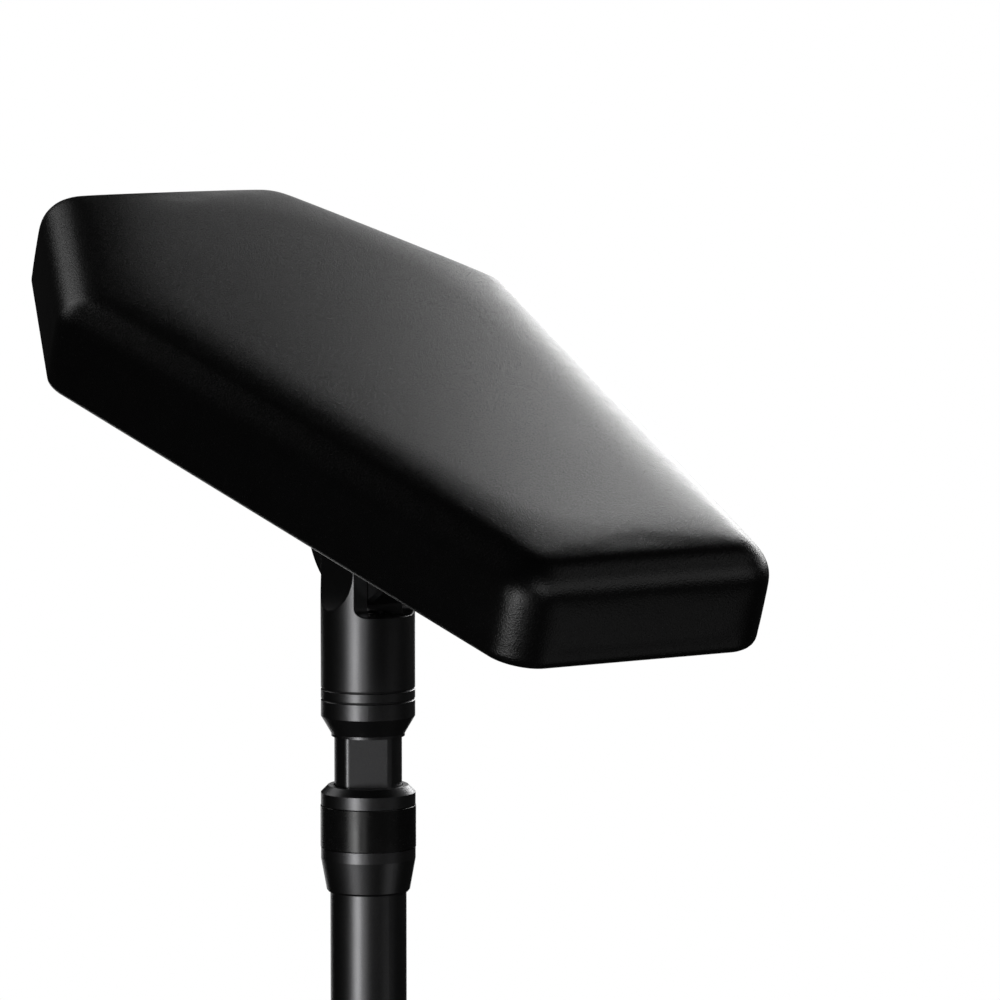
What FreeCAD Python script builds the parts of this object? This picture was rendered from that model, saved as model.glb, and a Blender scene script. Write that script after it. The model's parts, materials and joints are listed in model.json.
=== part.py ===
import FreeCAD, Part
import Sketcher
import math
import os

# Tattoo arm rest stand: a coffin-shaped pad on a tilting disc lug, a swivelling clevis head, a sliding
# post with flats, a twist lock collar and a column tube on a heavy round base. Millimetres, +Z up.
# The origin is the centre of the underside. The pad's long axis lies along X, its foot end at +X, and
# the tilt axis along Y. The part is at rest with the pad tilted as it is used, foot end down.

SIZES = {
    # Base
    "underpad_thickness": 3.0,
    "underpad_margin": 4.0,
    "base_radius": 200.0,
    "base_thickness": 10.0,
    "base_edge_bevel": 4.0,
    "base_foot_bevel": 1.0,
    "hub_flange_radius": 46.0,
    "hub_flange_thickness": 7.0,
    "hub_boss_radius": 22.5,
    "hub_height": 62.0,
    "hub_sweep_radius": 7.5,
    "hub_top_bevel": 2.0,
    "hub_bolt_circle_radius": 36.0,
    "hub_bolt_count": 6,
    "cap_screw_radius": 3.0,
    "cap_screw_head_radius": 5.0,
    "cap_screw_head_height": 6.0,
    "cap_screw_length": 14.0,
    "cap_screw_key_radius": 2.8,
    "cap_screw_key_depth": 3.0,
    "grub_radius": 3.0,
    "grub_sunk": 1.0,
    "grub_key_radius": 1.7,
    "hub_grub_height": 42.0,
    "hub_grub_turn": 90.0,
    # Column tube and lock collar
    "column_height": 520.0,
    "tube_radius": 16.2,
    "tube_wall": 1.5,
    "tube_end_drop": 16.0,
    "collar_radius": 20.1,
    "collar_mouth_radius": 17.1,
    "collar_mouth_gap": 0.5,
    "collar_mouth_lip": 1.0,
    "bezel_bevel_height": 3.0,
    "collar_upper_band": 5.2,
    "grip_height": 18.4,
    "grip_proud": 0.2,
    "grip_thickness": 1.0,
    "grip_edge_radius": 0.25,
    "grip_end_gap": 0.25,
    "collar_lower_band": 4.6,
    "collar_taper_height": 13.3,
    "collar_taper_radius": 17.7,
    "collar_foot_bevel": 0.9,
    "collar_foot_radius": 17.0,
    "collar_lip_height": 11.0,
    "ferrule_wall": 1.5,
    "ferrule_height": 18.0,
    "ferrule_rim": 2.0,
    "collet_flange_height": 2.5,
    "collet_foot_radius": 16.6,
    "collet_top_radius": 15.7,
    "collet_sunk": 1.2,
    "collet_slit": 1.0,
    "collet_slit_count": 3,
    "collet_slit_foot": 2.0,
    # Sliding post
    "post_radius": 14.35,
    "post_flat": 11.1,
    "post_edge_radius": 3.0,
    "post_bore_radius": 9.5,
    "post_heading": -32.0,
    "post_foot_height": 240.0,
    "guide_length": 30.0,
    "guide_spigot_length": 22.0,
    "guide_foot_bevel": 1.5,
    "guide_screw_radius": 2.5,
    "guide_screw_head_radius": 4.6,
    "guide_screw_head_height": 3.0,
    "guide_screw_length": 20.0,
    "post_exposed": 21.1,
    # Socket cup and swivel
    "head_radius": 20.0,
    "cup_lip_radius": 15.6,
    "cup_lip_height": 1.1,
    "cup_cone_height": 7.5,
    "cup_band_height": 7.0,
    "cup_socket_depth": 11.6,
    "plug_length": 16.0,
    "plug_tail": 2.0,
    "thrust_washer_thickness": 0.45,
    "thrust_washer_step": 0.7,
    "swivel_ring_height": 4.1,
    "swivel_bolt_radius": 5.0,
    "swivel_thread_radius": 4.0,
    "swivel_head_radius": 7.5,
    "swivel_head_height": 5.0,
    "swivel_head_sunk": 1.0,
    "swivel_key_radius": 3.0,
    "swivel_key_depth": 3.0,
    "spring_washer_thickness": 1.2,
    # Clevis head
    "head_shank_height": 31.6,
    "floor_drop": 41.2,
    "ear_width": 26.4,
    "slot_width": 17.3,
    "ear_flat": 15.5,
    "ear_runout_radius": 35.0,
    "ear_runout_foot": 2.1,
    "ear_foot_radius": 4.0,
    "tilt_bolt_radius": 4.0,
    # Disc lug and tilt bolt
    "lug_radius": 37.6,
    "lug_thickness": 16.6,
    "lug_rim_bevel": 1.6,
    "bush_wall": 2.0,
    "bush_length": 6.0,
    "bush_flange_radius": 9.0,
    "bush_flange_thickness": 1.2,
    "bush_flange_proud": 0.2,
    "bolt_washer_radius": 8.0,
    "bolt_washer_thickness": 1.5,
    "bolt_head_radius": 6.5,
    "bolt_head_height": 4.4,
    "bolt_key_radius": 2.8,
    "bolt_key_depth": 2.6,
    # Tilt knob
    "knob_radius": 19.0,
    "knob_height": 15.0,
    "knob_lobe_count": 7,
    "knob_scallop_radius": 7.0,
    "knob_scallop_bite": 2.4,
    "knob_lobe_radius": 3.0,
    "knob_edge_radius": 2.2,
    "knob_boss_radius": 11.0,
    "knob_boss_height": 5.0,
    "insert_radius": 6.5,
    "insert_length": 14.0,
    "insert_bolt_sunk": 1.5,
    "knob_cap_radius": 7.5,
    "knob_cap_height": 2.0,
    "knob_cap_crown": 0.8,
    # Pad
    "tilt_angle": 18.85,
    "pad_drop": 27.1,
    "pad_length": 412.0,
    "pad_shoulder": 120.3,
    "pad_head_width": 119.2,
    "pad_shoulder_width": 228.7,
    "pad_foot_width": 123.3,
    "pad_thickness": 45.8,
    "pad_corner_radius": 20.0,
    "pad_edge_radius": 18.5,
    "pad_hem_radius": 4.5,
    "pad_belly": 0.3,
    "pad_crown": 1.8,
    "cover_thickness": 1.2,
    "hem_width": 26.0,
    "hem_corner_radius": 10.0,
    "board_thickness": 12.0,
    "board_margin": 4.4,
    "liner_thickness": 0.7,
    "plate_side": 84.0,
    "plate_thickness": 5.0,
    "plate_corner_radius": 12.0,
    "lug_screw_spacing": 22.0,
    "lug_screw_radius": 2.5,
    "lug_screw_head_radius": 4.8,
    "lug_screw_head_height": 2.4,
    "lug_screw_key_radius": 1.6,
    "lug_screw_key_depth": 1.8,
    "lug_screw_length": 16.0,
    "plate_screw_radius": 3.0,
    "plate_screw_head_radius": 5.4,
    "plate_screw_head_height": 3.0,
    "plate_screw_key_radius": 2.0,
    "plate_screw_key_depth": 1.6,
    "plate_screw_length": 17.0,
    "plate_screw_count": 4,
    "plate_screw_circle_radius": 42.0,
    "plate_screw_turn": 45.0,
    "plate_washer_radius": 6.6,
    "plate_washer_thickness": 1.2,
    "tee_nut_barrel_radius": 4.2,
    "tee_nut_flange_radius": 9.0,
    "tee_nut_flange_thickness": 1.4,
    "tee_nut_length": 10.5,
    # Edges, clearances and overruns
    "edge_break": 0.3,
    "seat_clearance": 0.05,
    "turning_clearance": 0.08,
    "sliding_clearance": 0.05,
    "hole_clearance": 0.3,
    "soft_clearance": 0.3,
    "cut_overrun": 2.0,
    "axis_mark": 10.0,
    "quarter_turn": 90.0,
}

# Shares of the pad's own sizes, chosen by hand. Each crown section has its share of the way out from
# the centre and its share of the crown's rise.
CROWN_SECTION_SHARES = ((0.7, 0.65), (0.54, 0.85), (0.36, 0.96), (0.15, 1.0))
HEM_DRAW_SHARE = 0.6
BELLY_HEIGHT_SHARE = 0.5
RIM_DRAW_SHARE = 0.5

FULL_TURN = 360
# Lengths that differ by less than this are the same
SAME = 1e-4

NODES = []


class Size:
    """A length, angle or count of the sheet, or a sum of them, with its text and its value."""

    def __init__(self, text, value):
        self.text = text
        self.value = float(value)

    def joined(self, sign, other, value, swapped=False):
        other_text = other.text if isinstance(other, Size) else repr(other)
        first, second = (other_text, self.text) if swapped else (self.text, other_text)
        return Size(f"({first} {sign} {second})", value)

    def __add__(self, other):
        return self.joined("+", other, self.value + number(other))

    def __radd__(self, other):
        return self.joined("+", other, number(other) + self.value, True)

    def __sub__(self, other):
        return self.joined("-", other, self.value - number(other))

    def __rsub__(self, other):
        return self.joined("-", other, number(other) - self.value, True)

    def __mul__(self, other):
        return self.joined("*", other, self.value * number(other))

    def __rmul__(self, other):
        return self.joined("*", other, number(other) * self.value, True)

    def __truediv__(self, other):
        return self.joined("/", other, self.value / number(other))

    def __neg__(self):
        return Size(f"(0 - {self.text})", -self.value)


def number(value):
    return value.value if isinstance(value, Size) else float(value)


def as_size(value):
    return value if isinstance(value, Size) else Size(repr(value), value)


def root(value):
    return Size(f"sqrt({value.text})", math.sqrt(value.value))


def cosine(angle):
    return Size(f"cos({angle.text} * 1 deg)", math.cos(math.radians(angle.value)))


def sine(angle):
    return Size(f"sin({angle.text} * 1 deg)", math.sin(math.radians(angle.value)))


class Sheet:
    """The spreadsheet of driving dimensions; each one is read as an attribute."""

    def __init__(self, document, sizes):
        self.sheet = document.addObject("Spreadsheet::Sheet", "Sizes")
        self.sizes = sizes
        for row, (name, value) in enumerate(sizes.items(), start=1):
            self.sheet.set(f"A{row}", name)
            self.sheet.set(f"B{row}", str(value))
            self.sheet.setAlias(f"B{row}", name)
        document.recompute()

    def __getattr__(self, name):
        return Size(f"Sizes.{name}", self.sizes[name])


doc = FreeCAD.newDocument("ArmRestStand")
s = Sheet(doc, SIZES)

# Heights above the floor, worked out from the driving dimensions
plate_foot = s.underpad_thickness
plate_top = plate_foot + s.base_thickness
hub_top = plate_top + s.hub_height
tube_top = s.column_height - s.tube_end_drop
ferrule_top = tube_top + s.ferrule_rim
cup_foot = s.column_height + s.post_exposed
cup_cone_foot = cup_foot + s.cup_lip_height
cup_band_foot = cup_cone_foot + s.cup_cone_height
cup_top = cup_band_foot + s.cup_band_height
post_top = cup_foot + s.cup_socket_depth
ring_foot = cup_top + s.thrust_washer_thickness
ring_top = ring_foot + s.swivel_ring_height
head_foot = ring_top + s.thrust_washer_thickness
head_floor = head_foot + s.head_shank_height
pivot_height = head_floor + s.floor_drop

# Radii that follow from others
tube_bore_radius = s.tube_radius - s.tube_wall
ferrule_radius = s.tube_radius + s.ferrule_wall
collar_thread_radius = ferrule_radius + s.turning_clearance
slide_bore_radius = s.post_radius + s.sliding_clearance
slide_bore_flat = s.post_flat + s.sliding_clearance


def origin_feature(body, role):
    return next(feature for feature in body.Origin.OriginFeatures if feature.Role == role)


def new_body(label):
    body = doc.addObject("PartDesign::Body", label)
    body.Label = label
    body.AllowCompound = True
    NODES.append(body)
    return body


def place(thing, x=0, y=0, z=0, turn=None, axis=(0, 0, 1)):
    """Puts a piece at x, y, z, turned about one axis, all bound to the sheet."""
    spot = FreeCAD.Vector(number(x), number(y), number(z))
    angle = number(turn) if turn is not None else 0
    thing.Placement = FreeCAD.Placement(spot, FreeCAD.Rotation(FreeCAD.Vector(*axis), angle))
    for name, value in (("x", x), ("y", y), ("z", z)):
        if isinstance(value, Size):
            thing.setExpression(f"Placement.Base.{name}", value.text)
    if isinstance(turn, Size):
        thing.setExpression("Placement.Rotation.Angle", turn.text)
    return thing


def place_on_pivot(thing):
    """Puts a piece of the pad, modelled level about the tilt axis, at the pivot with the pad's tilt."""
    return place(thing, z=pivot_height, turn=s.tilt_angle, axis=(0, 1, 0))


def new_sketch(body, role, name):
    sketch = body.newObject("Sketcher::SketchObject", f"{body.Label}_{name}")
    sketch.AttachmentSupport = (origin_feature(body, role), [""])
    sketch.MapMode = "FlatFace"
    return sketch


def raise_sketch(sketch, offset):
    if offset is not None:
        sketch.AttachmentOffset = FreeCAD.Placement(FreeCAD.Vector(0, 0, number(offset)), FreeCAD.Rotation())
        if isinstance(offset, Size):
            sketch.setExpression("AttachmentOffset.Base.z", offset.text)


def hold(sketch, kind, places, value):
    """Adds one dimension to a sketch and binds it to the sheet; zero is set by the origin's axes."""
    index = sketch.addConstraint(Sketcher.Constraint(kind, *places, number(value)))
    if isinstance(value, Size):
        sketch.setExpression(f"Constraints[{index}]", value.text)


def hold_point(sketch, geometry, end, x, y):
    """Fixes a point of the sketch at x, y from the sketch's origin."""
    for kind, axis, value in (("DistanceX", -2, x), ("DistanceY", -1, y)):
        if number(value) == 0 and not isinstance(value, Size):
            sketch.addConstraint(Sketcher.Constraint("PointOnObject", geometry, end, axis))
        else:
            hold(sketch, kind, (-1, 1, geometry, end), value)


def draw_outline(sketch, points):
    """Draws a closed outline. A point is (x, y), or (x, y, radius, side) where the stretch that ends
    there is an arc of that radius, with its centre left (1) or right (-1) of the way."""
    count = len(points)
    first = sketch.GeometryCount
    for index in range(count):
        start = points[index - 1]
        stop = points[index]
        a = FreeCAD.Vector(number(start[0]), number(start[1]), 0)
        b = FreeCAD.Vector(number(stop[0]), number(stop[1]), 0)
        if len(stop) == 2:
            sketch.addGeometry(Part.LineSegment(a, b), False)
        else:
            sketch.addGeometry(arc_between(a, b, number(stop[2]), stop[3]), False)
    ends = []
    for index in range(count):
        stop = points[index]
        flipped = len(stop) == 4 and stop[3] < 0
        ends.append((2, 1) if flipped else (1, 2))
    for index in range(count):
        following = (index + 1) % count
        meeting = (first + index, ends[index][1], first + following, ends[following][0])
        sketch.addConstraint(Sketcher.Constraint("Coincident", *meeting))
    for index in range(count):
        hold_point(sketch, first + index, ends[index][1], points[index][0], points[index][1])
        if len(points[index]) == 4:
            hold(sketch, "Radius", (first + index,), points[index][2])


def arc_between(a, b, radius, side):
    """The arc under a half circle from a to b; the sketch stores it anticlockwise."""
    chord = b - a
    middle = (a + b) * 0.5
    reach = math.sqrt(max(radius**2 - (chord.Length / 2) ** 2, 0))
    across = FreeCAD.Vector(-chord.y, chord.x, 0).normalize()
    centre = middle + across * (reach * side)
    crest = centre - across * (radius * side)
    return Part.Arc(a, crest, b) if side > 0 else Part.Arc(b, crest, a)


def draw_circle(sketch, radius, x=0, y=0):
    index = sketch.addGeometry(Part.Circle(FreeCAD.Vector(number(x), number(y), 0), FreeCAD.Vector(0, 0, 1),
                                           number(radius)), False)
    hold_point(sketch, index, 3, x, y)
    hold(sketch, "Radius", (index,), radius)


def revolve(body, *outlines, x=0, name="profile", cut=False):
    """Turns outlines of (radius, height) points about the body's own Z axis, or an upright line at x."""
    sketch = new_sketch(body, "XZ_Plane", name)
    axis = "V_Axis"
    if isinstance(x, Size):
        axis = "Axis0"
        low, high = (FreeCAD.Vector(number(x), number(y), 0) for y in (0, s.axis_mark))
        sketch.addGeometry(Part.LineSegment(low, high), True)
        hold_point(sketch, 0, 1, x, 0)
        hold_point(sketch, 0, 2, x, s.axis_mark)
    for points in outlines:
        draw_outline(sketch, points)
    turned = body.newObject(f"PartDesign::{'Groove' if cut else 'Revolution'}", f"{body.Label}_{name}_turned")
    turned.Profile = sketch
    turned.ReferenceAxis = (sketch, [axis])
    turned.Angle = FULL_TURN
    body.Tip = turned
    return turned


def pad_sketch(body, sketch, length, symmetric=False):
    pad = body.newObject("PartDesign::Pad", f"{sketch.Label}_pad")
    pad.Profile = sketch
    pad.Length = number(length)
    pad.setExpression("Length", as_size(length).text)
    pad.Midplane = symmetric
    body.Tip = pad
    return pad


def pocket_sketch(body, sketch, length, symmetric=False, upward=False):
    """Cuts a sketch into the body, down from its plane or up from it, and checks that it did cut."""
    doc.recompute()
    before = body.Shape.Volume
    pocket = body.newObject("PartDesign::Pocket", f"{sketch.Label}_pocket")
    pocket.Profile = sketch
    pocket.Length = number(length)
    pocket.setExpression("Length", as_size(length).text)
    pocket.Midplane = symmetric
    pocket.Reversed = upward
    body.Tip = pocket
    doc.recompute()
    if not body.Shape.Volume < before:
        raise ValueError(f"{sketch.Label} cuts nothing")
    return pocket


def pattern_round(body, feature, count, turn=None):
    """Repeats a feature about the body's Z axis, over a full turn or with a stated turn between two."""
    doc.recompute()
    pattern = body.newObject("PartDesign::PolarPattern", f"{feature.Label}_pattern")
    pattern.Originals = [feature]
    pattern.Axis = (origin_feature(body, "Z_Axis"), [""])
    pattern.Angle = FULL_TURN
    if turn is not None:
        pattern.Angle = number(turn)
        pattern.setExpression("Angle", turn.text)
    pattern.Occurrences = int(number(count))
    pattern.setExpression("Occurrences", as_size(count).text)
    body.Tip = pattern
    return pattern


def finish_edges(body, kind, size, wanted):
    """Rounds or bevels the edges of the body's shape that a test picks out."""
    doc.recompute()
    base = body.Tip
    names = [f"Edge{index}" for index, edge in enumerate(base.Shape.Edges, start=1) if wanted(edge)]
    if not names:
        raise ValueError(f"{body.Label} has no such edge")
    feature = body.newObject(f"PartDesign::{kind}", f"{body.Label}_{kind.lower()}_{len(body.Group)}")
    feature.Base = (base, names)
    spec = "Radius" if kind == "Fillet" else "Size"
    setattr(feature, spec, number(size))
    feature.setExpression(spec, size.text)
    body.Tip = feature
    return feature


def is_upright(edge):
    if not isinstance(edge.Curve, Part.Line):
        return False
    return abs(edge.Curve.Direction.z) > abs(edge.Curve.Direction.x) + abs(edge.Curve.Direction.y)


def is_outer_corner(edge, reach):
    """True for an upright edge further from the axis than a given reach."""
    return is_upright(edge) and math.hypot(edge.CenterOfMass.x, edge.CenterOfMass.y) > reach


def screw(body, name, shank, length, head, head_height, key, key_depth, seat, x=0, up=1, cone=None):
    """Revolves one screw with a round key socket. Its head lies above its seat, or below for up=-1."""
    crown = seat + up * head_height
    points = [
        (x, crown - up * key_depth),
        (x, seat - up * length),
        (x + shank, seat - up * length),
        (x + shank, seat if cone is None else seat - up * cone),
        (x + head, seat),
        (x + head, crown),
        (x + key, crown),
        (x + key, crown - up * key_depth),
    ]
    return revolve(body, points, x=x, name=name)


def flipped(points):
    """The same outline on the other side of the sketch's upright axis."""
    turned_over = []
    for x, y, *arc in points:
        turned_over.append((-x, y, arc[0], -arc[1]) if arc else (-x, y))
    return turned_over


def box_outline(x_low, x_high, y_low, y_high):
    return [(x_low, y_low), (x_high, y_low), (x_high, y_high), (x_low, y_high)]


def mirrored_down(points):
    """The same outline on the other side of the sketch's level axis, for straight sides only."""
    return [(point[0], -point[1]) for point in points]


def flatted_outline(radius, flat):
    """Round section with two flats, facing along X."""
    chord = root(radius * radius - flat * flat)
    return [(flat, chord), (-flat, chord, radius, 1), (-flat, -chord), (flat, -chord, radius, 1)]


# Base

def make_rubber_underpad():
    body = new_body("rubber_underpad")
    outer = s.base_radius - s.underpad_margin
    revolve(body, [(0, 0), (outer, 0), (outer, plate_foot), (0, plate_foot)])


def make_base_plate():
    body = new_body("base_plate")
    rim = s.base_radius
    revolve(body, [
        (0, plate_foot),
        (rim - s.base_foot_bevel, plate_foot),
        (rim, plate_foot + s.base_foot_bevel),
        (rim, plate_top - s.base_edge_bevel),
        (rim - s.base_edge_bevel, plate_top, s.base_edge_bevel, 1),
        (0, plate_top),
    ])
    sketch = new_sketch(body, "XY_Plane", "tapped")
    raise_sketch(sketch, plate_top)
    draw_circle(sketch, s.cap_screw_radius + s.seat_clearance, s.hub_bolt_circle_radius)
    depth = s.cap_screw_length - s.hub_flange_thickness + s.hole_clearance
    pattern_round(body, pocket_sketch(body, sketch, depth), s.hub_bolt_count)


def make_base_hub():
    body = new_body("base_hub")
    bore = s.tube_radius + s.seat_clearance
    flange_top = plate_top + s.hub_flange_thickness
    boss = s.hub_boss_radius
    sweep = s.hub_sweep_radius
    revolve(body, [
        (bore, plate_top),
        (s.hub_flange_radius, plate_top),
        (s.hub_flange_radius, flange_top - s.hub_top_bevel / 2),
        (s.hub_flange_radius - s.hub_top_bevel / 2, flange_top),
        (boss + sweep, flange_top),
        (boss, flange_top + sweep, sweep, -1),
        (boss, hub_top - s.hub_top_bevel),
        (boss - s.hub_top_bevel, hub_top),
        (bore, hub_top),
    ])
    holes = new_sketch(body, "XY_Plane", "screw_hole")
    raise_sketch(holes, flange_top)
    draw_circle(holes, s.cap_screw_radius + s.hole_clearance, s.hub_bolt_circle_radius)
    pattern_round(body, pocket_sketch(body, holes, s.hub_flange_thickness), s.hub_bolt_count)
    side = new_sketch(body, "YZ_Plane", "grub_hole")
    draw_circle(side, s.grub_radius + s.seat_clearance, 0, plate_top + s.hub_grub_height)
    grub = pocket_sketch(body, side, boss + s.cut_overrun, upward=True)
    pattern_round(body, grub, 2, s.hub_grub_turn)


def make_hub_screws():
    body = new_body("hub_screws")
    seat = plate_top + s.hub_flange_thickness
    one = screw(body, "screw", s.cap_screw_radius, s.cap_screw_length, s.cap_screw_head_radius,
                s.cap_screw_head_height, s.cap_screw_key_radius, s.cap_screw_key_depth, seat,
                s.hub_bolt_circle_radius)
    pattern_round(body, one, s.hub_bolt_count)


def make_hub_set_screws():
    """Two grub screws, a quarter turn apart, that press on the tube."""
    body = new_body("hub_set_screws")
    sketch = new_sketch(body, "YZ_Plane", "shank")
    raise_sketch(sketch, s.tube_radius)
    draw_circle(sketch, s.grub_radius, 0, plate_top + s.hub_grub_height)
    draw_circle(sketch, s.grub_key_radius, 0, plate_top + s.hub_grub_height)
    length = s.hub_boss_radius - s.tube_radius - s.grub_sunk
    shank = pad_sketch(body, sketch, length)
    pattern_round(body, shank, 2, s.hub_grub_turn)


def make_column_tube():
    body = new_body("column_tube")
    revolve(body, box_outline(tube_bore_radius, s.tube_radius, plate_top, tube_top))


def make_tube_ferrule():
    body = new_body("tube_ferrule")
    foot = ferrule_top - s.ferrule_height
    revolve(body, [
        (s.tube_radius, foot),
        (ferrule_radius, foot),
        (ferrule_radius, ferrule_top),
        (tube_bore_radius, ferrule_top),
        (tube_bore_radius, tube_top),
        (s.tube_radius, tube_top),
    ])


def make_locking_collet():
    """Split taper with a bore for the post's flats."""
    body = new_body("locking_collet")
    shoulder = ferrule_top + s.collet_flange_height
    top = s.column_height - s.collet_sunk
    revolve(body, [
        (0, ferrule_top),
        (s.collet_foot_radius, ferrule_top),
        (s.collet_foot_radius, shoulder),
        (s.collet_top_radius, top),
        (0, top),
    ])
    bore = new_sketch(body, "XY_Plane", "bore")
    raise_sketch(bore, top)
    draw_outline(bore, flatted_outline(slide_bore_radius, slide_bore_flat))
    pocket_sketch(body, bore, top - ferrule_top)
    slit = new_sketch(body, "XY_Plane", "slit")
    raise_sketch(slit, top)
    half_slit = s.collet_slit / 2
    draw_outline(slit, box_outline(-half_slit, half_slit, 0, s.collet_foot_radius + s.cut_overrun))
    cut = pocket_sketch(body, slit, top - ferrule_top - s.collet_slit_foot)
    pattern_round(body, cut, s.collet_slit_count)
    place(body, turn=s.post_heading)


# Lock collar

collar_foot = (
    s.column_height - s.bezel_bevel_height - s.collar_upper_band - s.grip_height - s.collar_lower_band
    - s.collar_taper_height - s.collar_foot_bevel
)
collar_taper_foot = collar_foot + s.collar_foot_bevel
collar_band_foot = collar_taper_foot + s.collar_taper_height
grip_foot = collar_band_foot + s.collar_lower_band
grip_top = grip_foot + s.grip_height
grip_seat_radius = s.collar_radius + s.grip_proud - s.grip_thickness


def make_lock_collar():
    body = new_body("lock_collar")
    cone_foot = ferrule_top + s.collet_flange_height
    cone_top = s.column_height - s.collet_sunk
    mouth = s.post_radius + s.collar_mouth_gap
    revolve(body, [
        (s.tube_radius + s.hole_clearance, collar_foot),
        (s.collar_foot_radius, collar_foot),
        (s.collar_taper_radius, collar_taper_foot),
        (s.collar_radius, collar_band_foot),
        (s.collar_radius, grip_foot),
        (grip_seat_radius, grip_foot),
        (grip_seat_radius, grip_top),
        (s.collar_radius, grip_top),
        (s.collar_radius, s.column_height - s.bezel_bevel_height),
        (s.collar_mouth_radius, s.column_height),
        (mouth, s.column_height),
        (mouth, s.column_height - s.collar_mouth_lip),
        (s.collet_top_radius + s.hole_clearance, s.column_height - s.collar_mouth_lip),
        (s.collet_top_radius + s.hole_clearance, cone_top),
        (s.collet_foot_radius + s.hole_clearance, cone_foot),
        (collar_thread_radius, cone_foot),
        (collar_thread_radius, collar_foot + s.collar_lip_height),
        (s.tube_radius + s.hole_clearance, collar_foot + s.collar_lip_height),
    ])


def make_collar_grip_band():
    """Band let into the collar, a little proud of it, with soft outer edges and a fine gap at each end."""
    body = new_body("collar_grip_band")
    outer = grip_seat_radius + s.grip_thickness
    edge = s.grip_edge_radius
    foot = grip_foot + s.grip_end_gap
    top = grip_top - s.grip_end_gap
    revolve(body, [
        (grip_seat_radius, foot),
        (outer - edge, foot),
        (outer, foot + edge, edge, 1),
        (outer, top - edge),
        (outer - edge, top, edge, 1),
        (grip_seat_radius, top),
    ])


# Sliding post, socket cup and swivel stack

def make_sliding_post():
    body = new_body("sliding_post")
    sketch = new_sketch(body, "XY_Plane", "section")
    raise_sketch(sketch, s.post_foot_height)
    draw_outline(sketch, flatted_outline(s.post_radius, s.post_flat))
    draw_circle(sketch, s.post_bore_radius)
    pad_sketch(body, sketch, post_top - s.post_foot_height)
    finish_edges(body, "Fillet", s.post_edge_radius, lambda edge: is_outer_corner(edge, s.post_flat.value))
    place(body, turn=s.post_heading)


def make_post_guide():
    """Nylon plug that runs in the tube and carries the post's foot."""
    body = new_body("post_guide")
    foot = s.post_foot_height - s.guide_length
    skirt = tube_bore_radius - s.sliding_clearance
    recess = s.guide_screw_head_radius + s.hole_clearance
    recess_top = foot + s.guide_screw_head_height + s.guide_foot_bevel
    bore = s.guide_screw_radius
    bore_top = recess_top + s.guide_screw_length + s.guide_foot_bevel
    spigot_top = s.post_foot_height + s.guide_spigot_length
    revolve(body, [
        (recess, foot),
        (skirt - s.guide_foot_bevel, foot),
        (skirt, foot + s.guide_foot_bevel),
        (skirt, s.post_foot_height),
        (s.post_bore_radius, s.post_foot_height),
        (s.post_bore_radius, spigot_top - s.guide_foot_bevel),
        (s.post_bore_radius - s.guide_foot_bevel, spigot_top),
        (0, spigot_top),
        (0, bore_top),
        (bore, bore_top),
        (bore, recess_top),
        (recess, recess_top),
    ])


def make_post_guide_screw():
    body = new_body("post_guide_screw")
    seat = s.post_foot_height - s.guide_length + s.guide_screw_head_height + s.guide_foot_bevel
    screw(body, "screw", s.guide_screw_radius, s.guide_screw_length, s.guide_screw_head_radius,
          s.guide_screw_head_height, s.guide_screw_radius, s.guide_foot_bevel, seat, up=-1)


def make_post_plug():
    body = new_body("post_plug")
    revolve(body, box_outline(s.swivel_thread_radius, s.post_bore_radius, post_top - s.plug_length, post_top))


def make_socket_cup():
    """Cone-ended cup that holds the post's head by its flats."""
    body = new_body("socket_cup")
    revolve(body, [
        (s.swivel_thread_radius, cup_foot),
        (s.cup_lip_radius, cup_foot),
        (s.cup_lip_radius, cup_cone_foot),
        (s.head_radius, cup_band_foot),
        (s.head_radius, cup_top - s.edge_break),
        (s.head_radius - s.edge_break, cup_top),
        (s.swivel_thread_radius, cup_top),
    ])
    socket = new_sketch(body, "XY_Plane", "socket")
    raise_sketch(socket, cup_foot)
    draw_outline(socket, flatted_outline(slide_bore_radius, slide_bore_flat))
    pocket_sketch(body, socket, s.cup_socket_depth, upward=True)
    place(body, turn=s.post_heading)


def make_swivel_ring():
    body = new_body("swivel_ring")
    inner = s.swivel_bolt_radius + s.hole_clearance
    rim = s.head_radius
    revolve(body, [
        (inner, ring_foot),
        (rim - s.edge_break, ring_foot),
        (rim, ring_foot + s.edge_break),
        (rim, ring_top - s.edge_break),
        (rim - s.edge_break, ring_top),
        (inner, ring_top),
    ])


def make_thrust_washers():
    """Two thin washers, below and above the ring, whose edges lie back in the two grooves."""
    body = new_body("thrust_washers")
    inner = s.swivel_bolt_radius + s.hole_clearance
    outer = s.head_radius - s.thrust_washer_step
    lower = box_outline(inner, outer, cup_top, ring_foot)
    upper = box_outline(inner, outer, ring_top, head_foot)
    revolve(body, lower, upper)


counterbore_floor = head_floor - s.swivel_head_sunk - s.swivel_head_height - s.spring_washer_thickness
swivel_head_foot = counterbore_floor + s.spring_washer_thickness
swivel_head_top = swivel_head_foot + s.swivel_head_height


def make_swivel_bolt():
    """Shoulder bolt: the head turns on its shoulder, and its thread ties cup and post together."""
    body = new_body("swivel_bolt")
    foot = post_top - s.plug_length + s.plug_tail
    revolve(body, [
        (0, foot),
        (s.swivel_thread_radius, foot),
        (s.swivel_thread_radius, cup_top),
        (s.swivel_bolt_radius, cup_top),
        (s.swivel_bolt_radius, swivel_head_foot),
        (s.swivel_head_radius, swivel_head_foot),
        (s.swivel_head_radius, swivel_head_top),
        (s.swivel_key_radius, swivel_head_top),
        (s.swivel_key_radius, swivel_head_top - s.swivel_key_depth),
        (0, swivel_head_top - s.swivel_key_depth),
    ])


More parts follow.
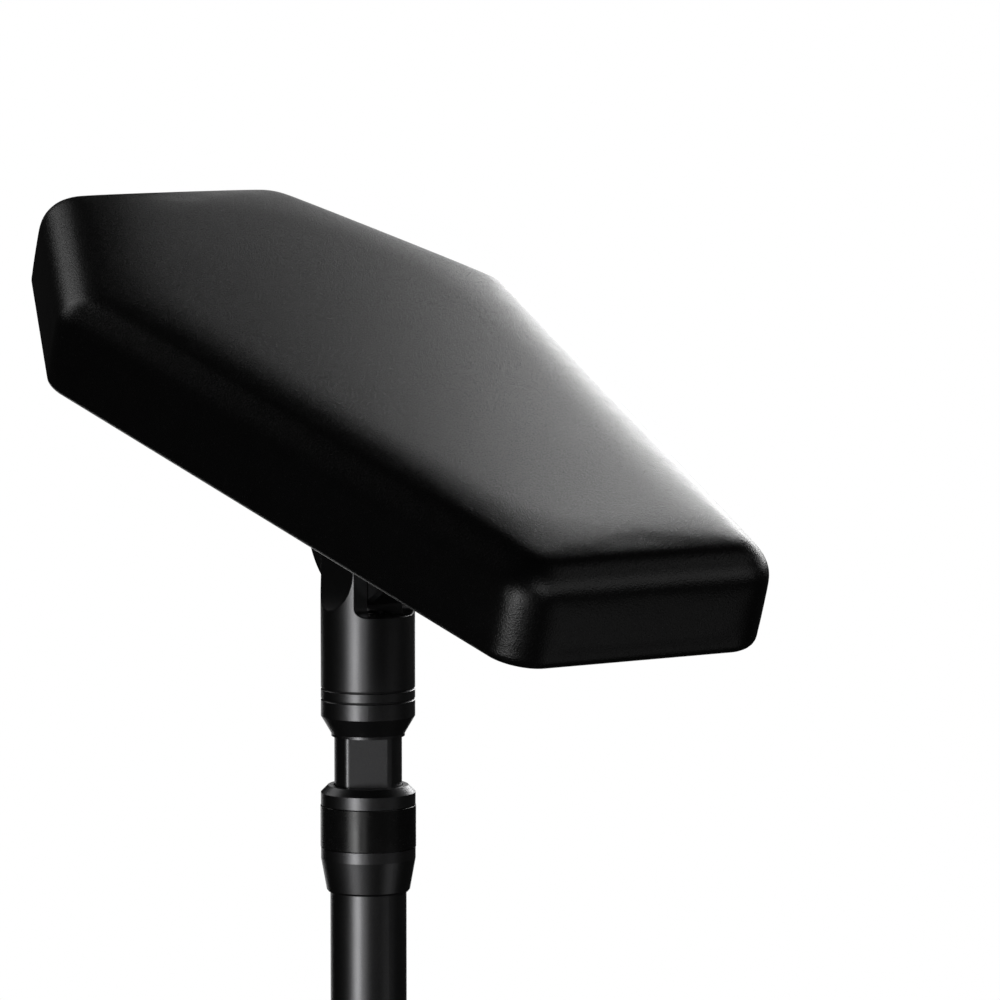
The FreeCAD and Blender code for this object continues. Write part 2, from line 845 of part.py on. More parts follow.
def make_swivel_spring_washer():
    body = new_body("swivel_spring_washer")
    inner = s.swivel_bolt_radius + s.seat_clearance
    revolve(body, box_outline(inner, s.swivel_head_radius, counterbore_floor, swivel_head_foot))


# Clevis head

ear_top = pivot_height + s.ear_width / 2


def is_on_round(edge, radius, lowest):
    """An edge above a height that lies on the round of the bar."""
    low, high = edge.ParameterRange
    points = [edge.valueAt(low), edge.valueAt((low + high) / 2), edge.valueAt(high)]
    return all(abs(math.hypot(point.x, point.y) - radius) < SAME and point.z > lowest for point in points)


def make_clevis_head():
    """Round bar milled to two ears, with a through slot, shelves with rounded corners and side flats
    that run out in long arcs."""
    body = new_body("clevis_head")
    radius = s.head_radius
    bore = s.swivel_bolt_radius + s.turning_clearance
    counterbore = s.swivel_head_radius + s.hole_clearance
    half_ear = s.ear_width / 2
    revolve(body, [
        (bore, head_foot),
        (radius - s.edge_break, head_foot),
        (radius, head_foot + s.edge_break),
        (radius, ear_top),
        (0, ear_top),
        (0, head_floor),
        (counterbore, head_floor),
        (counterbore, counterbore_floor),
        (bore, counterbore_floor),
    ])
    width = radius * 2 + s.cut_overrun
    above = ear_top + s.cut_overrun
    slot = new_sketch(body, "YZ_Plane", "slot")
    draw_outline(slot, box_outline(-s.slot_width / 2, s.slot_width / 2, head_floor, above))
    pocket_sketch(body, slot, width, symmetric=True)
    shelf = [
        (half_ear, above),
        (half_ear, head_floor + s.ear_foot_radius),
        (half_ear + s.ear_foot_radius, head_floor, s.ear_foot_radius, 1),
        (radius + s.cut_overrun, head_floor),
        (radius + s.cut_overrun, above),
    ]
    shelves = new_sketch(body, "XZ_Plane", "shelves")
    draw_outline(shelves, shelf)
    draw_outline(shelves, flipped(shelf))
    pocket_sketch(body, shelves, width, symmetric=True)
    crown = new_sketch(body, "XZ_Plane", "crown")
    draw_outline(crown, [
        (half_ear + s.cut_overrun, pivot_height),
        (half_ear + s.cut_overrun, above),
        (-half_ear - s.cut_overrun, above),
        (-half_ear - s.cut_overrun, pivot_height),
        (-half_ear, pivot_height),
        (0, ear_top, half_ear, -1),
        (half_ear, pivot_height, half_ear, -1),
    ])
    pocket_sketch(body, crown, width, symmetric=True)
    runout = s.ear_runout_radius
    bite = radius - s.ear_flat
    fall = root(runout * runout - (runout - bite) * (runout - bite))
    runout_foot = head_floor + s.ear_runout_foot
    flat = [
        (s.ear_flat, above),
        (s.ear_flat, runout_foot + fall),
        (radius, runout_foot, runout, 1),
        (radius + s.cut_overrun, runout_foot),
        (radius + s.cut_overrun, above),
    ]
    flats = new_sketch(body, "YZ_Plane", "flats")
    draw_outline(flats, flat)
    draw_outline(flats, flipped(flat))
    pocket_sketch(body, flats, width, symmetric=True)
    bolt_hole = new_sketch(body, "XZ_Plane", "bolt_hole")
    draw_circle(bolt_hole, s.tilt_bolt_radius + s.seat_clearance, 0, pivot_height)
    pocket_sketch(body, bolt_hole, width, symmetric=True)
    lowest = head_floor.value - SAME
    finish_edges(body, "Chamfer", s.edge_break, lambda edge: is_on_round(edge, radius.value, lowest))


# Tilt bolt, washers and knob, modelled upright about the tilt axis and laid along Y

def lay_on_tilt_axis(body):
    return place(body, z=pivot_height, turn=s.quarter_turn, axis=(-1, 0, 0))


knob_foot = s.ear_flat + s.bolt_washer_thickness
knob_top = knob_foot + s.knob_boss_height + s.knob_height
bolt_end = knob_foot + s.insert_length - s.insert_bolt_sunk


def make_tilt_bolt():
    body = new_body("tilt_bolt")
    screw(body, "screw", s.tilt_bolt_radius, bolt_end + knob_foot, s.bolt_head_radius, s.bolt_head_height,
          s.bolt_key_radius, s.bolt_key_depth, -knob_foot, up=-1)
    lay_on_tilt_axis(body)


def make_bolt_washers():
    body = new_body("bolt_washers")
    inner = s.tilt_bolt_radius + s.seat_clearance
    outline = box_outline(inner, s.bolt_washer_radius, s.ear_flat, knob_foot)
    revolve(body, outline, mirrored_down(outline))
    lay_on_tilt_axis(body)


def is_rim(edge, radius):
    """An edge that lies level, with both ends and its middle outside a radius."""
    low, high = edge.ParameterRange
    points = [edge.valueAt(low), edge.valueAt((low + high) / 2), edge.valueAt(high)]
    level = max(point.z for point in points) - min(point.z for point in points) < SAME
    return level and all(math.hypot(point.x, point.y) > radius for point in points)


def make_tilt_knob():
    """Lobed hand knob: a turned blank with a boss, scalloped round its rim and rounded all over."""
    body = new_body("tilt_knob")
    rim = s.knob_radius
    blank_foot = knob_foot + s.knob_boss_height
    cap_floor = knob_top - s.knob_cap_height
    revolve(body, [
        (s.insert_radius, knob_foot),
        (s.knob_boss_radius, knob_foot),
        (s.knob_boss_radius, blank_foot),
        (rim, blank_foot),
        (rim, knob_top),
        (s.knob_cap_radius, knob_top),
        (s.knob_cap_radius, cap_floor),
        (0, cap_floor),
        (0, knob_foot + s.insert_length),
        (s.insert_radius, knob_foot + s.insert_length),
    ])
    scallop = new_sketch(body, "XY_Plane", "scallop")
    raise_sketch(scallop, knob_top)
    draw_circle(scallop, s.knob_scallop_radius, rim + s.knob_scallop_radius - s.knob_scallop_bite)
    pattern_round(body, pocket_sketch(body, scallop, s.knob_height), s.knob_lobe_count)
    finish_edges(body, "Fillet", s.knob_lobe_radius, is_upright)
    outside = s.knob_boss_radius.value + SAME
    finish_edges(body, "Fillet", s.knob_edge_radius, lambda edge: is_rim(edge, outside))
    lay_on_tilt_axis(body)


def make_knob_insert():
    body = new_body("knob_insert")
    bore = s.tilt_bolt_radius + s.turning_clearance
    revolve(body, box_outline(bore, s.insert_radius, knob_foot, knob_foot + s.insert_length))
    lay_on_tilt_axis(body)


def make_knob_cap():
    body = new_body("knob_cap")
    foot = knob_top - s.knob_cap_height
    crown = s.knob_cap_crown
    radius = s.knob_cap_radius
    crown_radius = (radius * radius + crown * crown) / (crown * 2)
    revolve(body, [
        (0, foot),
        (radius, foot),
        (radius, knob_top),
        (0, knob_top + crown, crown_radius, 1),
    ])
    lay_on_tilt_axis(body)


# Disc lug and what joins it to the pad, modelled level about the tilt axis and tilted with the pad

board_foot = s.pad_drop + s.cover_thickness
board_top = board_foot + s.board_thickness
lug_top = board_foot - s.liner_thickness - s.plate_thickness
mount_plate_top = lug_top + s.plate_thickness
bush_bore = s.tilt_bolt_radius + s.turning_clearance
bush_radius = bush_bore + s.bush_wall
bush_recess = s.bush_flange_thickness - s.bush_flange_proud
plate_screw_x = s.plate_screw_circle_radius * cosine(s.plate_screw_turn)
plate_screw_y = s.plate_screw_circle_radius * sine(s.plate_screw_turn)


def place_plate_screws(body):
    """A group modelled on the X axis is turned onto the plate's corners and tilted with the pad."""
    spot = f"vector(0; 0; {pivot_height.text})"
    tilt = f"rotation(vector(0; 1; 0); {s.tilt_angle.text})"
    group_turn = f"rotation(vector(0; 0; 1); {s.plate_screw_turn.text})"
    body.setExpression("Placement", f"placement({spot}; {tilt} * {group_turn})")


def is_arc_of(edge, radius):
    return isinstance(edge.Curve, Part.Circle) and abs(edge.Curve.Radius - radius) < SAME


def make_disc_lug():
    """Half disc with straight sides up to the plate, bushed at the pivot."""
    body = new_body("disc_lug")
    radius = s.lug_radius
    half = s.lug_thickness / 2
    sketch = new_sketch(body, "XZ_Plane", "section")
    draw_outline(sketch, [
        (-radius, lug_top),
        (-radius, 0),
        (0, -radius, radius, 1),
        (radius, 0, radius, 1),
        (radius, lug_top),
    ])
    pad_sketch(body, sketch, s.lug_thickness, symmetric=True)
    finish_edges(body, "Chamfer", s.lug_rim_bevel, lambda edge: is_arc_of(edge, radius.value))
    bore = new_sketch(body, "XZ_Plane", "bore")
    draw_circle(bore, bush_radius)
    pocket_sketch(body, bore, s.lug_thickness, symmetric=True)
    for name, side in (("near_recess", 1), ("far_recess", -1)):
        recess = new_sketch(body, "XZ_Plane", name)
        raise_sketch(recess, half * side)
        draw_circle(recess, s.bush_flange_radius + s.seat_clearance)
        pocket_sketch(body, recess, bush_recess, upward=side < 0)
    tapped = new_sketch(body, "XY_Plane", "tapped")
    raise_sketch(tapped, lug_top)
    draw_circle(tapped, s.lug_screw_radius + s.seat_clearance, s.lug_screw_spacing)
    depth = s.lug_screw_length - s.plate_thickness + s.hole_clearance
    pattern_round(body, pocket_sketch(body, tapped, depth), 2)
    place_on_pivot(body)


def make_lug_bushes():
    """Two flanged bushes, pressed into the lug from its two faces."""
    body = new_body("lug_bushes")
    face = s.lug_thickness / 2
    outline = [
        (bush_bore, face - bush_recess - s.bush_length),
        (bush_radius, face - bush_recess - s.bush_length),
        (bush_radius, face - bush_recess),
        (s.bush_flange_radius, face - bush_recess),
        (s.bush_flange_radius, face + s.bush_flange_proud),
        (bush_bore, face + s.bush_flange_proud),
    ]
    revolve(body, outline, mirrored_down(outline))
    lay_on_tilt_axis(body)


def make_mounting_plate():
    body = new_body("mounting_plate")
    half = s.plate_side / 2
    sketch = new_sketch(body, "XY_Plane", "section")
    raise_sketch(sketch, lug_top)
    draw_outline(sketch, box_outline(-half, half, -half, half))
    pad_sketch(body, sketch, s.plate_thickness)
    finish_edges(body, "Fillet", s.plate_corner_radius, is_upright)
    x = s.lug_screw_spacing
    sink_foot = mount_plate_top - s.lug_screw_head_height
    shank = s.lug_screw_radius + s.seat_clearance
    sink = s.lug_screw_head_radius + s.seat_clearance
    outline = [(x, lug_top), (x + shank, lug_top), (x + shank, sink_foot), (x + sink, mount_plate_top),
               (x, mount_plate_top)]
    sunk = revolve(body, outline, x=x, name="countersink", cut=True)
    pattern_round(body, sunk, 2)
    holes = new_sketch(body, "XY_Plane", "screw_hole")
    raise_sketch(holes, mount_plate_top)
    draw_circle(holes, s.plate_screw_radius + s.hole_clearance, plate_screw_x, plate_screw_y)
    pattern_round(body, pocket_sketch(body, holes, s.plate_thickness), s.plate_screw_count)
    place_on_pivot(body)


def make_lug_screws():
    """Countersunk screws, flush with the plate's top."""
    body = new_body("lug_screws")
    x = s.lug_screw_spacing
    cone_foot = mount_plate_top - s.lug_screw_head_height
    key_floor = mount_plate_top - s.lug_screw_key_depth
    one = revolve(body, [
        (x, key_floor),
        (x, mount_plate_top - s.lug_screw_length),
        (x + s.lug_screw_radius, mount_plate_top - s.lug_screw_length),
        (x + s.lug_screw_radius, cone_foot),
        (x + s.lug_screw_head_radius, mount_plate_top),
        (x + s.lug_screw_key_radius, mount_plate_top),
        (x + s.lug_screw_key_radius, key_floor),
    ], x=x, name="screw")
    pattern_round(body, one, 2)
    place_on_pivot(body)


def make_plate_washers():
    body = new_body("plate_washers")
    x = s.plate_screw_circle_radius
    outline = box_outline(x + s.plate_screw_radius + s.seat_clearance, x + s.plate_washer_radius,
                           lug_top - s.plate_washer_thickness, lug_top)
    pattern_round(body, revolve(body, outline, x=x, name="washer"), s.plate_screw_count)
    place_plate_screws(body)


def make_plate_screws():
    body = new_body("plate_screws")
    one = screw(body, "screw", s.plate_screw_radius, s.plate_screw_length, s.plate_screw_head_radius,
                s.plate_screw_head_height, s.plate_screw_key_radius, s.plate_screw_key_depth,
                lug_top - s.plate_washer_thickness, s.plate_screw_circle_radius, up=-1)
    pattern_round(body, one, s.plate_screw_count)
    place_plate_screws(body)


def make_tee_nuts():
    """Flanged nuts let into the board's top, under the foam."""
    body = new_body("tee_nuts")
    x = s.plate_screw_circle_radius
    bore = x + s.plate_screw_radius + s.seat_clearance
    barrel = x + s.tee_nut_barrel_radius
    flange = x + s.tee_nut_flange_radius
    flange_foot = board_top - s.tee_nut_flange_thickness
    outline = [
        (bore, board_top - s.tee_nut_length),
        (barrel, board_top - s.tee_nut_length),
        (barrel, flange_foot),
        (flange, flange_foot),
        (flange, board_top),
        (bore, board_top),
    ]
    pattern_round(body, revolve(body, outline, x=x, name="nut"), s.plate_screw_count)
    place_plate_screws(body)


# Pad: board, liner, foam and cover share one coffin outline

def coffin_points(inset):
    """Corners of the coffin outline, drawn in by an inset, anticlockwise from the head's near side."""
    head_slope = (s.pad_shoulder_width - s.pad_head_width) / (s.pad_shoulder * 2)
    foot_run = s.pad_length - s.pad_shoulder
    foot_slope = (s.pad_shoulder_width - s.pad_foot_width) / (foot_run * 2)
    head_reach = root(head_slope * head_slope + 1)
    foot_reach = root(foot_slope * foot_slope + 1)
    head_draw = inset * head_reach
    foot_draw = inset * foot_reach
    shift = (head_draw - foot_draw) / (head_slope + foot_slope)
    head_x = -s.pad_length / 2
    foot_x = s.pad_length / 2
    head_y = s.pad_head_width / 2
    shoulder_y = s.pad_shoulder_width / 2
    foot_y = s.pad_foot_width / 2
    far = [
        (head_x + inset, head_y + inset * head_slope - head_draw),
        (head_x + s.pad_shoulder + shift, shoulder_y + shift * head_slope - head_draw),
        (foot_x - inset, foot_y + inset * foot_slope - foot_draw),
    ]
    near = [(point[0], -point[1]) for point in far]
    return near + far[::-1]


def make_pad_board():
    body = new_body("pad_board")
    sketch = new_sketch(body, "XY_Plane", "section")
    raise_sketch(sketch, board_foot)
    draw_outline(sketch, coffin_points(s.board_margin))
    pad_sketch(body, sketch, s.board_thickness)
    finish_edges(body, "Fillet", s.pad_corner_radius, is_upright)
    for name, radius, depth in (
        ("barrel_hole", s.tee_nut_barrel_radius, s.board_thickness),
        ("flange_recess", s.tee_nut_flange_radius, s.tee_nut_flange_thickness),
    ):
        holes = new_sketch(body, "XY_Plane", name)
        raise_sketch(holes, board_top)
        draw_circle(holes, radius + s.seat_clearance, plate_screw_x, plate_screw_y)
        pattern_round(body, pocket_sketch(body, holes, depth), s.plate_screw_count)
    place_on_pivot(body)


def make_underside_liner():
    """Thin cloth over the board's underside, inside the cover's hem, clamped by the plate."""
    body = new_body("underside_liner")
    sketch = new_sketch(body, "XY_Plane", "section")
    raise_sketch(sketch, mount_plate_top)
    draw_outline(sketch, coffin_points(s.hem_width + s.soft_clearance))
    pad_sketch(body, sketch, s.liner_thickness)
    finish_edges(body, "Fillet", s.hem_corner_radius, is_upright)
    holes = new_sketch(body, "XY_Plane", "screw_hole")
    raise_sketch(holes, board_foot)
    draw_circle(holes, s.plate_screw_radius + s.hole_clearance, plate_screw_x, plate_screw_y)
    pattern_round(body, pocket_sketch(body, holes, s.liner_thickness), s.plate_screw_count)
    place_on_pivot(body)


def rounded_wire(points, radius, height):
    """A closed wire of straight sides and corner arcs through a convex outline at a height."""
    count = len(points)
    corners = []
    for index in range(count):
        before = FreeCAD.Vector(*points[index - 1], height)
        corner = FreeCAD.Vector(*points[index], height)
        after = FreeCAD.Vector(*points[(index + 1) % count], height)
        back = (before - corner).normalize()
        ahead = (after - corner).normalize()
        half_angle = back.getAngle(ahead) / 2
        reach = radius / math.tan(half_angle)
        inward = (back + ahead).normalize()
        centre = corner + inward * (radius / math.sin(half_angle))
        corners.append((corner + back * reach, centre - inward * radius, corner + ahead * reach))
    edges = []
    for index in range(count):
        start, middle, stop = corners[index]
        edges.append(Part.Arc(start, middle, stop).toShape())
        edges.append(Part.LineSegment(stop, corners[(index + 1) % count][0]).toShape())
    return Part.Wire(edges)


def cushion_levels(skin):
    """Inset and height of each level of the pad's side, from its foot to its top edge before that is
    rounded, for a surface that lies inside the outer one by a skin."""
    belly = s.pad_belly.value
    hem = s.pad_hem_radius.value
    rim_height = s.pad_thickness.value - s.pad_crown.value - skin
    return [
        (skin + belly + hem * HEM_DRAW_SHARE, 0),
        (skin + belly, hem),
        (skin, rim_height * BELLY_HEIGHT_SHARE),
        (skin + belly * RIM_DRAW_SHARE, rim_height),
    ]


def cushion_solid(skin):
    """Crowned closed form of the pad: sides with a slight belly, a soft top edge and a low crown."""
    radius = s.pad_corner_radius.value
    base = s.pad_drop.value
    wires = []
    for inset, height in cushion_levels(skin):
        rim = [(x.value, y.value) for x, y in coffin_points(as_size(inset))]
        wires.append(rounded_wire(rim, radius, base + height))
    rim_height = base + height
    for reach_share, rise_share in CROWN_SECTION_SHARES:
        points = [(x * reach_share, y * reach_share) for x, y in rim]
        level = rim_height + s.pad_crown.value * rise_share
        wires.append(rounded_wire(points, radius * reach_share, level))
    form = Part.makeLoft(wires, True, True)
    rim_edges = [
        edge for edge in form.Edges
        if all(abs(vertex.Point.z - rim_height) < SAME for vertex in edge.Vertexes)
    ]
    return form.makeFillet(s.pad_edge_radius.value - skin, rim_edges)


def cut_below(form, level):
    """What lies above a level of a form, such as the foam on its board."""
    span = s.pad_length.value
    return form.cut(Part.makeBox(span * 2, span * 2, span, FreeCAD.Vector(-span, -span, level - span)))


def add_shape(label, shape):
    """A piece whose form neither sketches nor primitives give; its sizes are read from the sheet."""
    thing = doc.addObject("Part::Feature", label)
    thing.Label = label
    thing.Shape = shape
    NODES.append(thing)
    return place_on_pivot(thing)


def make_pad_foam():
    skin = s.cover_thickness.value + s.soft_clearance.value
    add_shape("pad_foam", cut_below(cushion_solid(skin), board_top.value + s.soft_clearance.value))


def make_pad_cover():
    """Leatherette shell over foam and board, turned under as a hem."""
    thickness = s.cover_thickness.value
    outer = cushion_solid(0)
    inner = cut_below(cushion_solid(thickness), board_foot.value)
    opening_points = [(x.value, y.value) for x, y in coffin_points(s.hem_width)]
    foot = s.pad_drop.value - s.cut_overrun.value
    opening_wire = rounded_wire(opening_points, s.hem_corner_radius.value, foot)
    depth = thickness + s.cut_overrun.value * 2
    opening = Part.Face(opening_wire).extrude(FreeCAD.Vector(0, 0, depth))
    add_shape("pad_cover", outer.cut(inner).cut(opening))


MAKERS = [
    make_rubber_underpad, make_base_plate, make_base_hub, make_hub_screws, make_hub_set_screws,
    make_column_tube, make_tube_ferrule, make_locking_collet, make_lock_collar, make_collar_grip_band,
    make_sliding_post, make_post_guide, make_post_guide_screw, make_post_plug, make_socket_cup,
    make_swivel_ring, make_thrust_washers, make_swivel_bolt, make_swivel_spring_washer,
    make_clevis_head, make_tilt_bolt, make_bolt_washers, make_tilt_knob, make_knob_insert, make_knob_cap,
    make_disc_lug, make_lug_bushes, make_mounting_plate, make_lug_screws, make_plate_washers,
    make_plate_screws, make_tee_nuts, make_pad_board, make_underside_liner, make_pad_foam,
    make_pad_cover,
]

for make in MAKERS:
    make()
doc.recompute()

for thing in doc.Objects:
    if "Invalid" in thing.State or "Error" in thing.State:
        raise ValueError(f"{thing.Label} did not recompute")
os.makedirs("parts", exist_ok=True)
for node in NODES:
    if node.Shape.isNull() or not node.Shape.isValid() or not node.Shape.Solids:
        raise ValueError(f"{node.Label} has no sound solid")
for node in NODES:
    node.Shape.exportStep(f"parts/{node.Label}.step")
    print(node.Label, len(node.Shape.Solids), round(node.Shape.Volume, 1))
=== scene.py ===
"""Tattoo arm rest stand: a leather pad on a tilting lug, a swivel head, a sliding post and a round base."""

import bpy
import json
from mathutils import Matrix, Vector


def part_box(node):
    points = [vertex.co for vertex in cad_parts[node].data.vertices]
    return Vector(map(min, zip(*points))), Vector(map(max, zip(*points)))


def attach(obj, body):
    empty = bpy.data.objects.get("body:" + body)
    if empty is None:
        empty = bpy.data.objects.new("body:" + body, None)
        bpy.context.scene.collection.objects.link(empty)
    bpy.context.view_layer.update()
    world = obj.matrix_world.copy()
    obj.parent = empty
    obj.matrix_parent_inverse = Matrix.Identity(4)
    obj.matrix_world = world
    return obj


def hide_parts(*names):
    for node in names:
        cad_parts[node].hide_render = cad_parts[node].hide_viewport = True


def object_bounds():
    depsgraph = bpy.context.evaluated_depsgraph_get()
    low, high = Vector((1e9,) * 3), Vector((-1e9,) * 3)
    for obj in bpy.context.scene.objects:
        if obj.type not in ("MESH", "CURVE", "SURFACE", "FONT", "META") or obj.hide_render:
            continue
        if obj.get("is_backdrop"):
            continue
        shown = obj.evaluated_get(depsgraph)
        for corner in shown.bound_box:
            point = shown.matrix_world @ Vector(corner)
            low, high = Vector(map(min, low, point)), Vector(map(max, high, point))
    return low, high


bl_info = {
    "name": "Tattoo arm rest stand",
    "version": (1, 0, 0),
    "blender": (4, 5, 0),
    "location": "3D View > Sidebar > Arm Rest",
    "description": "Dresses the packed arm rest stand: cushion, underside, screws, finishes and studio",
    "category": "Object",
}

import json
import math
from contextlib import contextmanager

import bmesh
import bpy
from bpy.props import FloatProperty, FloatVectorProperty, IntProperty, PointerProperty
from mathutils import Matrix, Vector

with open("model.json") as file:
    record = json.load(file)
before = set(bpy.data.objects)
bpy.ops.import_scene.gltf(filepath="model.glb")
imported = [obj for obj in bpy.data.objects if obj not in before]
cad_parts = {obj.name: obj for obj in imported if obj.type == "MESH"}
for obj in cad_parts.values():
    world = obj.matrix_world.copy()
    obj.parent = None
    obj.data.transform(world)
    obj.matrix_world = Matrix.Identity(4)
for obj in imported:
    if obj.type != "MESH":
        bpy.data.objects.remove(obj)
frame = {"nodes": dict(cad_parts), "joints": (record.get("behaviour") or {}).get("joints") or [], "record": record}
CAD_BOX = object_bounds()

JOINTS = {joint["name"]: joint for joint in frame["joints"]}
PIVOT = Vector(JOINTS["pad_tilt"]["pos_m"])
NODE_SLOTS = {part["node"]: part["material_slot"] for part in frame["record"]["subparts"]}

# Edges that turn by more than this stay sharp where a piece is shaded smooth
SHARP_ANGLE = math.radians(35)
QUARTER_TURN = math.pi / 2
HALF_TURN = math.pi
FULL_TURN = math.tau
UP = Vector((0, 0, 1))
# Points nearer than this are the same
SAME = 1e-6


# Settings

def metres(name, description, default):
    """A length in a group of settings."""
    return FloatProperty(name=name, description=description, default=default, unit="LENGTH")


def tint(name, description, default):
    """A colour in a group of settings."""
    return FloatVectorProperty(
        name=name, description=description, subtype="COLOR", default=default, min=0, max=1)


class PadSettings(bpy.types.PropertyGroup):
    """Sizes and colours of the pad."""

    length: metres("Length", "Pad from head end to foot end", 0.412)
    shoulder: metres("Shoulder", "Shoulder line behind the head end", 0.1203)
    head_width: metres("Head width", "Width of the head end", 0.1192)
    shoulder_width: metres("Shoulder width", "Width at the shoulders", 0.2287)
    foot_width: metres("Foot width", "Width of the foot end", 0.1233)
    thickness: metres("Thickness", "Underside to the crown's top", 0.0468)
    drop: metres("Drop", "Tilt axis to the pad's underside", 0.0271)
    tilt: FloatProperty(
        name="Tilt", description="Pad's slope at rest, foot end down", default=math.radians(18.85),
        subtype="ANGLE")
    corner_radius: metres("Corner radius", "Plan radius of the corners", 0.02)
    edge_radius: metres("Edge radius", "Radius of the top edge", 0.022)
    hem_radius: metres("Hem radius", "Radius of the bottom edge", 0.0045)
    hem_blend: metres("Hem blend", "Height over which the side leaves the board's edge", 0.007)
    crown: metres("Crown", "Rise of the top's middle", 0.001)
    roll: metres("Roll", "How far the top rolls down at the rim", 0.0045)
    roll_width: metres("Roll width", "From the rim in to where the roll starts", 0.035)
    belly: metres("Belly", "Swell of the sides at half height", 0.0003)
    swell: metres("Swell", "How far the foam pushes the cover out", 0.0003)
    voxel: metres("Voxel", "Grid of the cushion before it swells", 0.003)
    pressure: FloatProperty(
        name="Pressure", description="Pressure inside the cover as it swells", default=4.0)
    fill: FloatProperty(
        name="Fill", description="Firmness of the foam, 0 slack to 1 tight", default=0.85, min=0, max=1)
    cover_thickness: metres("Cover thickness", "Thickness of the leatherette", 0.0012)
    hem_width: metres("Hem width", "Leatherette turned under the board", 0.026)
    hem_corner_radius: metres("Hem corner radius", "Corners of the hem's opening", 0.01)
    hem_gap: metres("Hem gap", "Between the hem and the liner", 0.0003)
    liner_thickness: metres("Liner thickness", "Thickness of the liner cloth", 0.0007)
    pucker: metres("Pucker", "Waves at the liner's edge", 0.0003)
    grain: metres("Grain", "Size of the leather's pebbles", 0.00065)
    grain_depth: metres("Grain depth", "Depth of the leather's grain", 0.00007)
    colour: tint("Leather", "Colour of the leatherette", (0.0024, 0.0024, 0.0025))
    liner_colour: tint("Liner", "Colour of the liner cloth", (0.022, 0.022, 0.023))


class StapleSettings(bpy.types.PropertyGroup):
    """Sizes of the staples and pleats that hold the cover's hem."""

    spacing: metres("Spacing", "From one staple to the next", 0.026)
    inset: metres("Inset", "From the pad's rim to the staples", 0.0195)
    crown: metres("Crown", "Length of a staple's back", 0.0095)
    wire_width: metres("Wire width", "Width of the staple wire", 0.0012)
    wire_thickness: metres("Wire thickness", "Thickness of the staple wire", 0.0006)
    pleats: IntProperty(
        name="Pleats", description="Pleats at each corner of the hem", default=4, min=0)
    pleat_length: metres("Pleat length", "From the rim inwards", 0.016)
    pleat_width: metres("Pleat width", "Width of a pleat at its inner end", 0.0034)
    pleat_height: metres("Pleat height", "How far a pleat stands proud", 0.0007)


class ScrewSettings(bpy.types.PropertyGroup):
    """Sizes of the hexagon socket screws."""

    cap_head: metres("Cap head", "Head radius of the hub's cap screws", 0.005)
    cap_key: metres("Cap key", "Key of the hub's cap screws", 0.005)
    grub_radius: metres("Grub", "Radius of the hub's set screws", 0.003)
    grub_key: metres("Grub key", "Key of the hub's set screws", 0.003)
    plate_head: metres("Plate screw head", "Head radius of the plate screws", 0.0054)
    plate_head_height: metres("Plate screw height", "Head height of the plate screws", 0.003)
    plate_key: metres("Plate screw key", "Key of the plate screws", 0.004)
    plate_circle: metres("Plate circle", "Radius of the circle of plate screws", 0.042)
    tilt_head: metres("Tilt bolt head", "Head radius of the tilt bolt", 0.0065)
    tilt_head_height: metres("Tilt bolt height", "Head height of the tilt bolt", 0.0044)
    tilt_key: metres("Tilt bolt key", "Key of the tilt bolt", 0.005)
    knurl: metres("Knurl", "Depth of the cap screws' knurl", 0.00015)


class FinishSettings(bpy.types.PropertyGroup):
    """Colours and textures of the metal, plastic and rubber."""

    anodised: tint("Anodised", "Black anodised aluminium", (0.12, 0.12, 0.123))
    powder: tint("Powder coat", "Base plate's powder coat", (0.016, 0.016, 0.017))
    band: tint("Grip band", "Band round the lock collar", (0.004, 0.004, 0.004))
    steel: tint("Black steel", "Blacked screws", (0.07, 0.07, 0.072))
    zinc: tint("Zinc", "Zinc plate of washers, nuts and bolts", (0.55, 0.56, 0.58))
    aluminium: tint("Aluminium", "Machined aluminium", (0.6, 0.61, 0.62))
    brass: tint("Brass", "Knob insert", (0.75, 0.56, 0.27))
    bronze: tint("Bronze", "Lug bushes", (0.45, 0.3, 0.16))
    plastic: tint("Knob", "Moulded knob", (0.02, 0.02, 0.021))
    nylon: tint("Nylon", "Collet and guides", (0.025, 0.025, 0.026))
    rubber: tint("Rubber", "Disc under the base", (0.022, 0.022, 0.022))
    plywood: tint("Plywood", "Pad board", (0.55, 0.4, 0.24))
    foam: tint("Foam", "Foam in the pad", (0.35, 0.35, 0.36))
    speckle: metres("Speckle", "Size of the anodised surface's speckle", 0.0002)


class StudioSettings(bpy.types.PropertyGroup):
    """Camera, floor and lights."""

    camera_spot: FloatVectorProperty(
        name="Camera", description="Where the camera stands", subtype="TRANSLATION",
        default=(2.1942, -1.3768, 0.9125))
    camera_turn: FloatVectorProperty(
        name="Camera turn", description="How the camera is turned", subtype="EULER",
        default=(math.radians(84.02), 0, math.radians(56.657)))
    lens: FloatProperty(name="Lens", description="Focal length in millimetres", default=222.17)
    floor_radius: metres("Floor radius", "Where the floor has faded out", 2.2)
    floor_clear: metres("Floor clear", "Where the floor starts to fade", 0.9)
    floor_drop: metres("Floor drop", "Floor below the rubber disc", 0.0002)
    floor_colour: tint("Floor", "Colour of the floor", (0.86, 0.86, 0.86))
    backdrop: FloatProperty(
        name="Backdrop", description="Brightness of the backdrop", default=1.0)
    surround: FloatProperty(
        name="Surround", description="Brightness of the dark studio around the part", default=0.01)


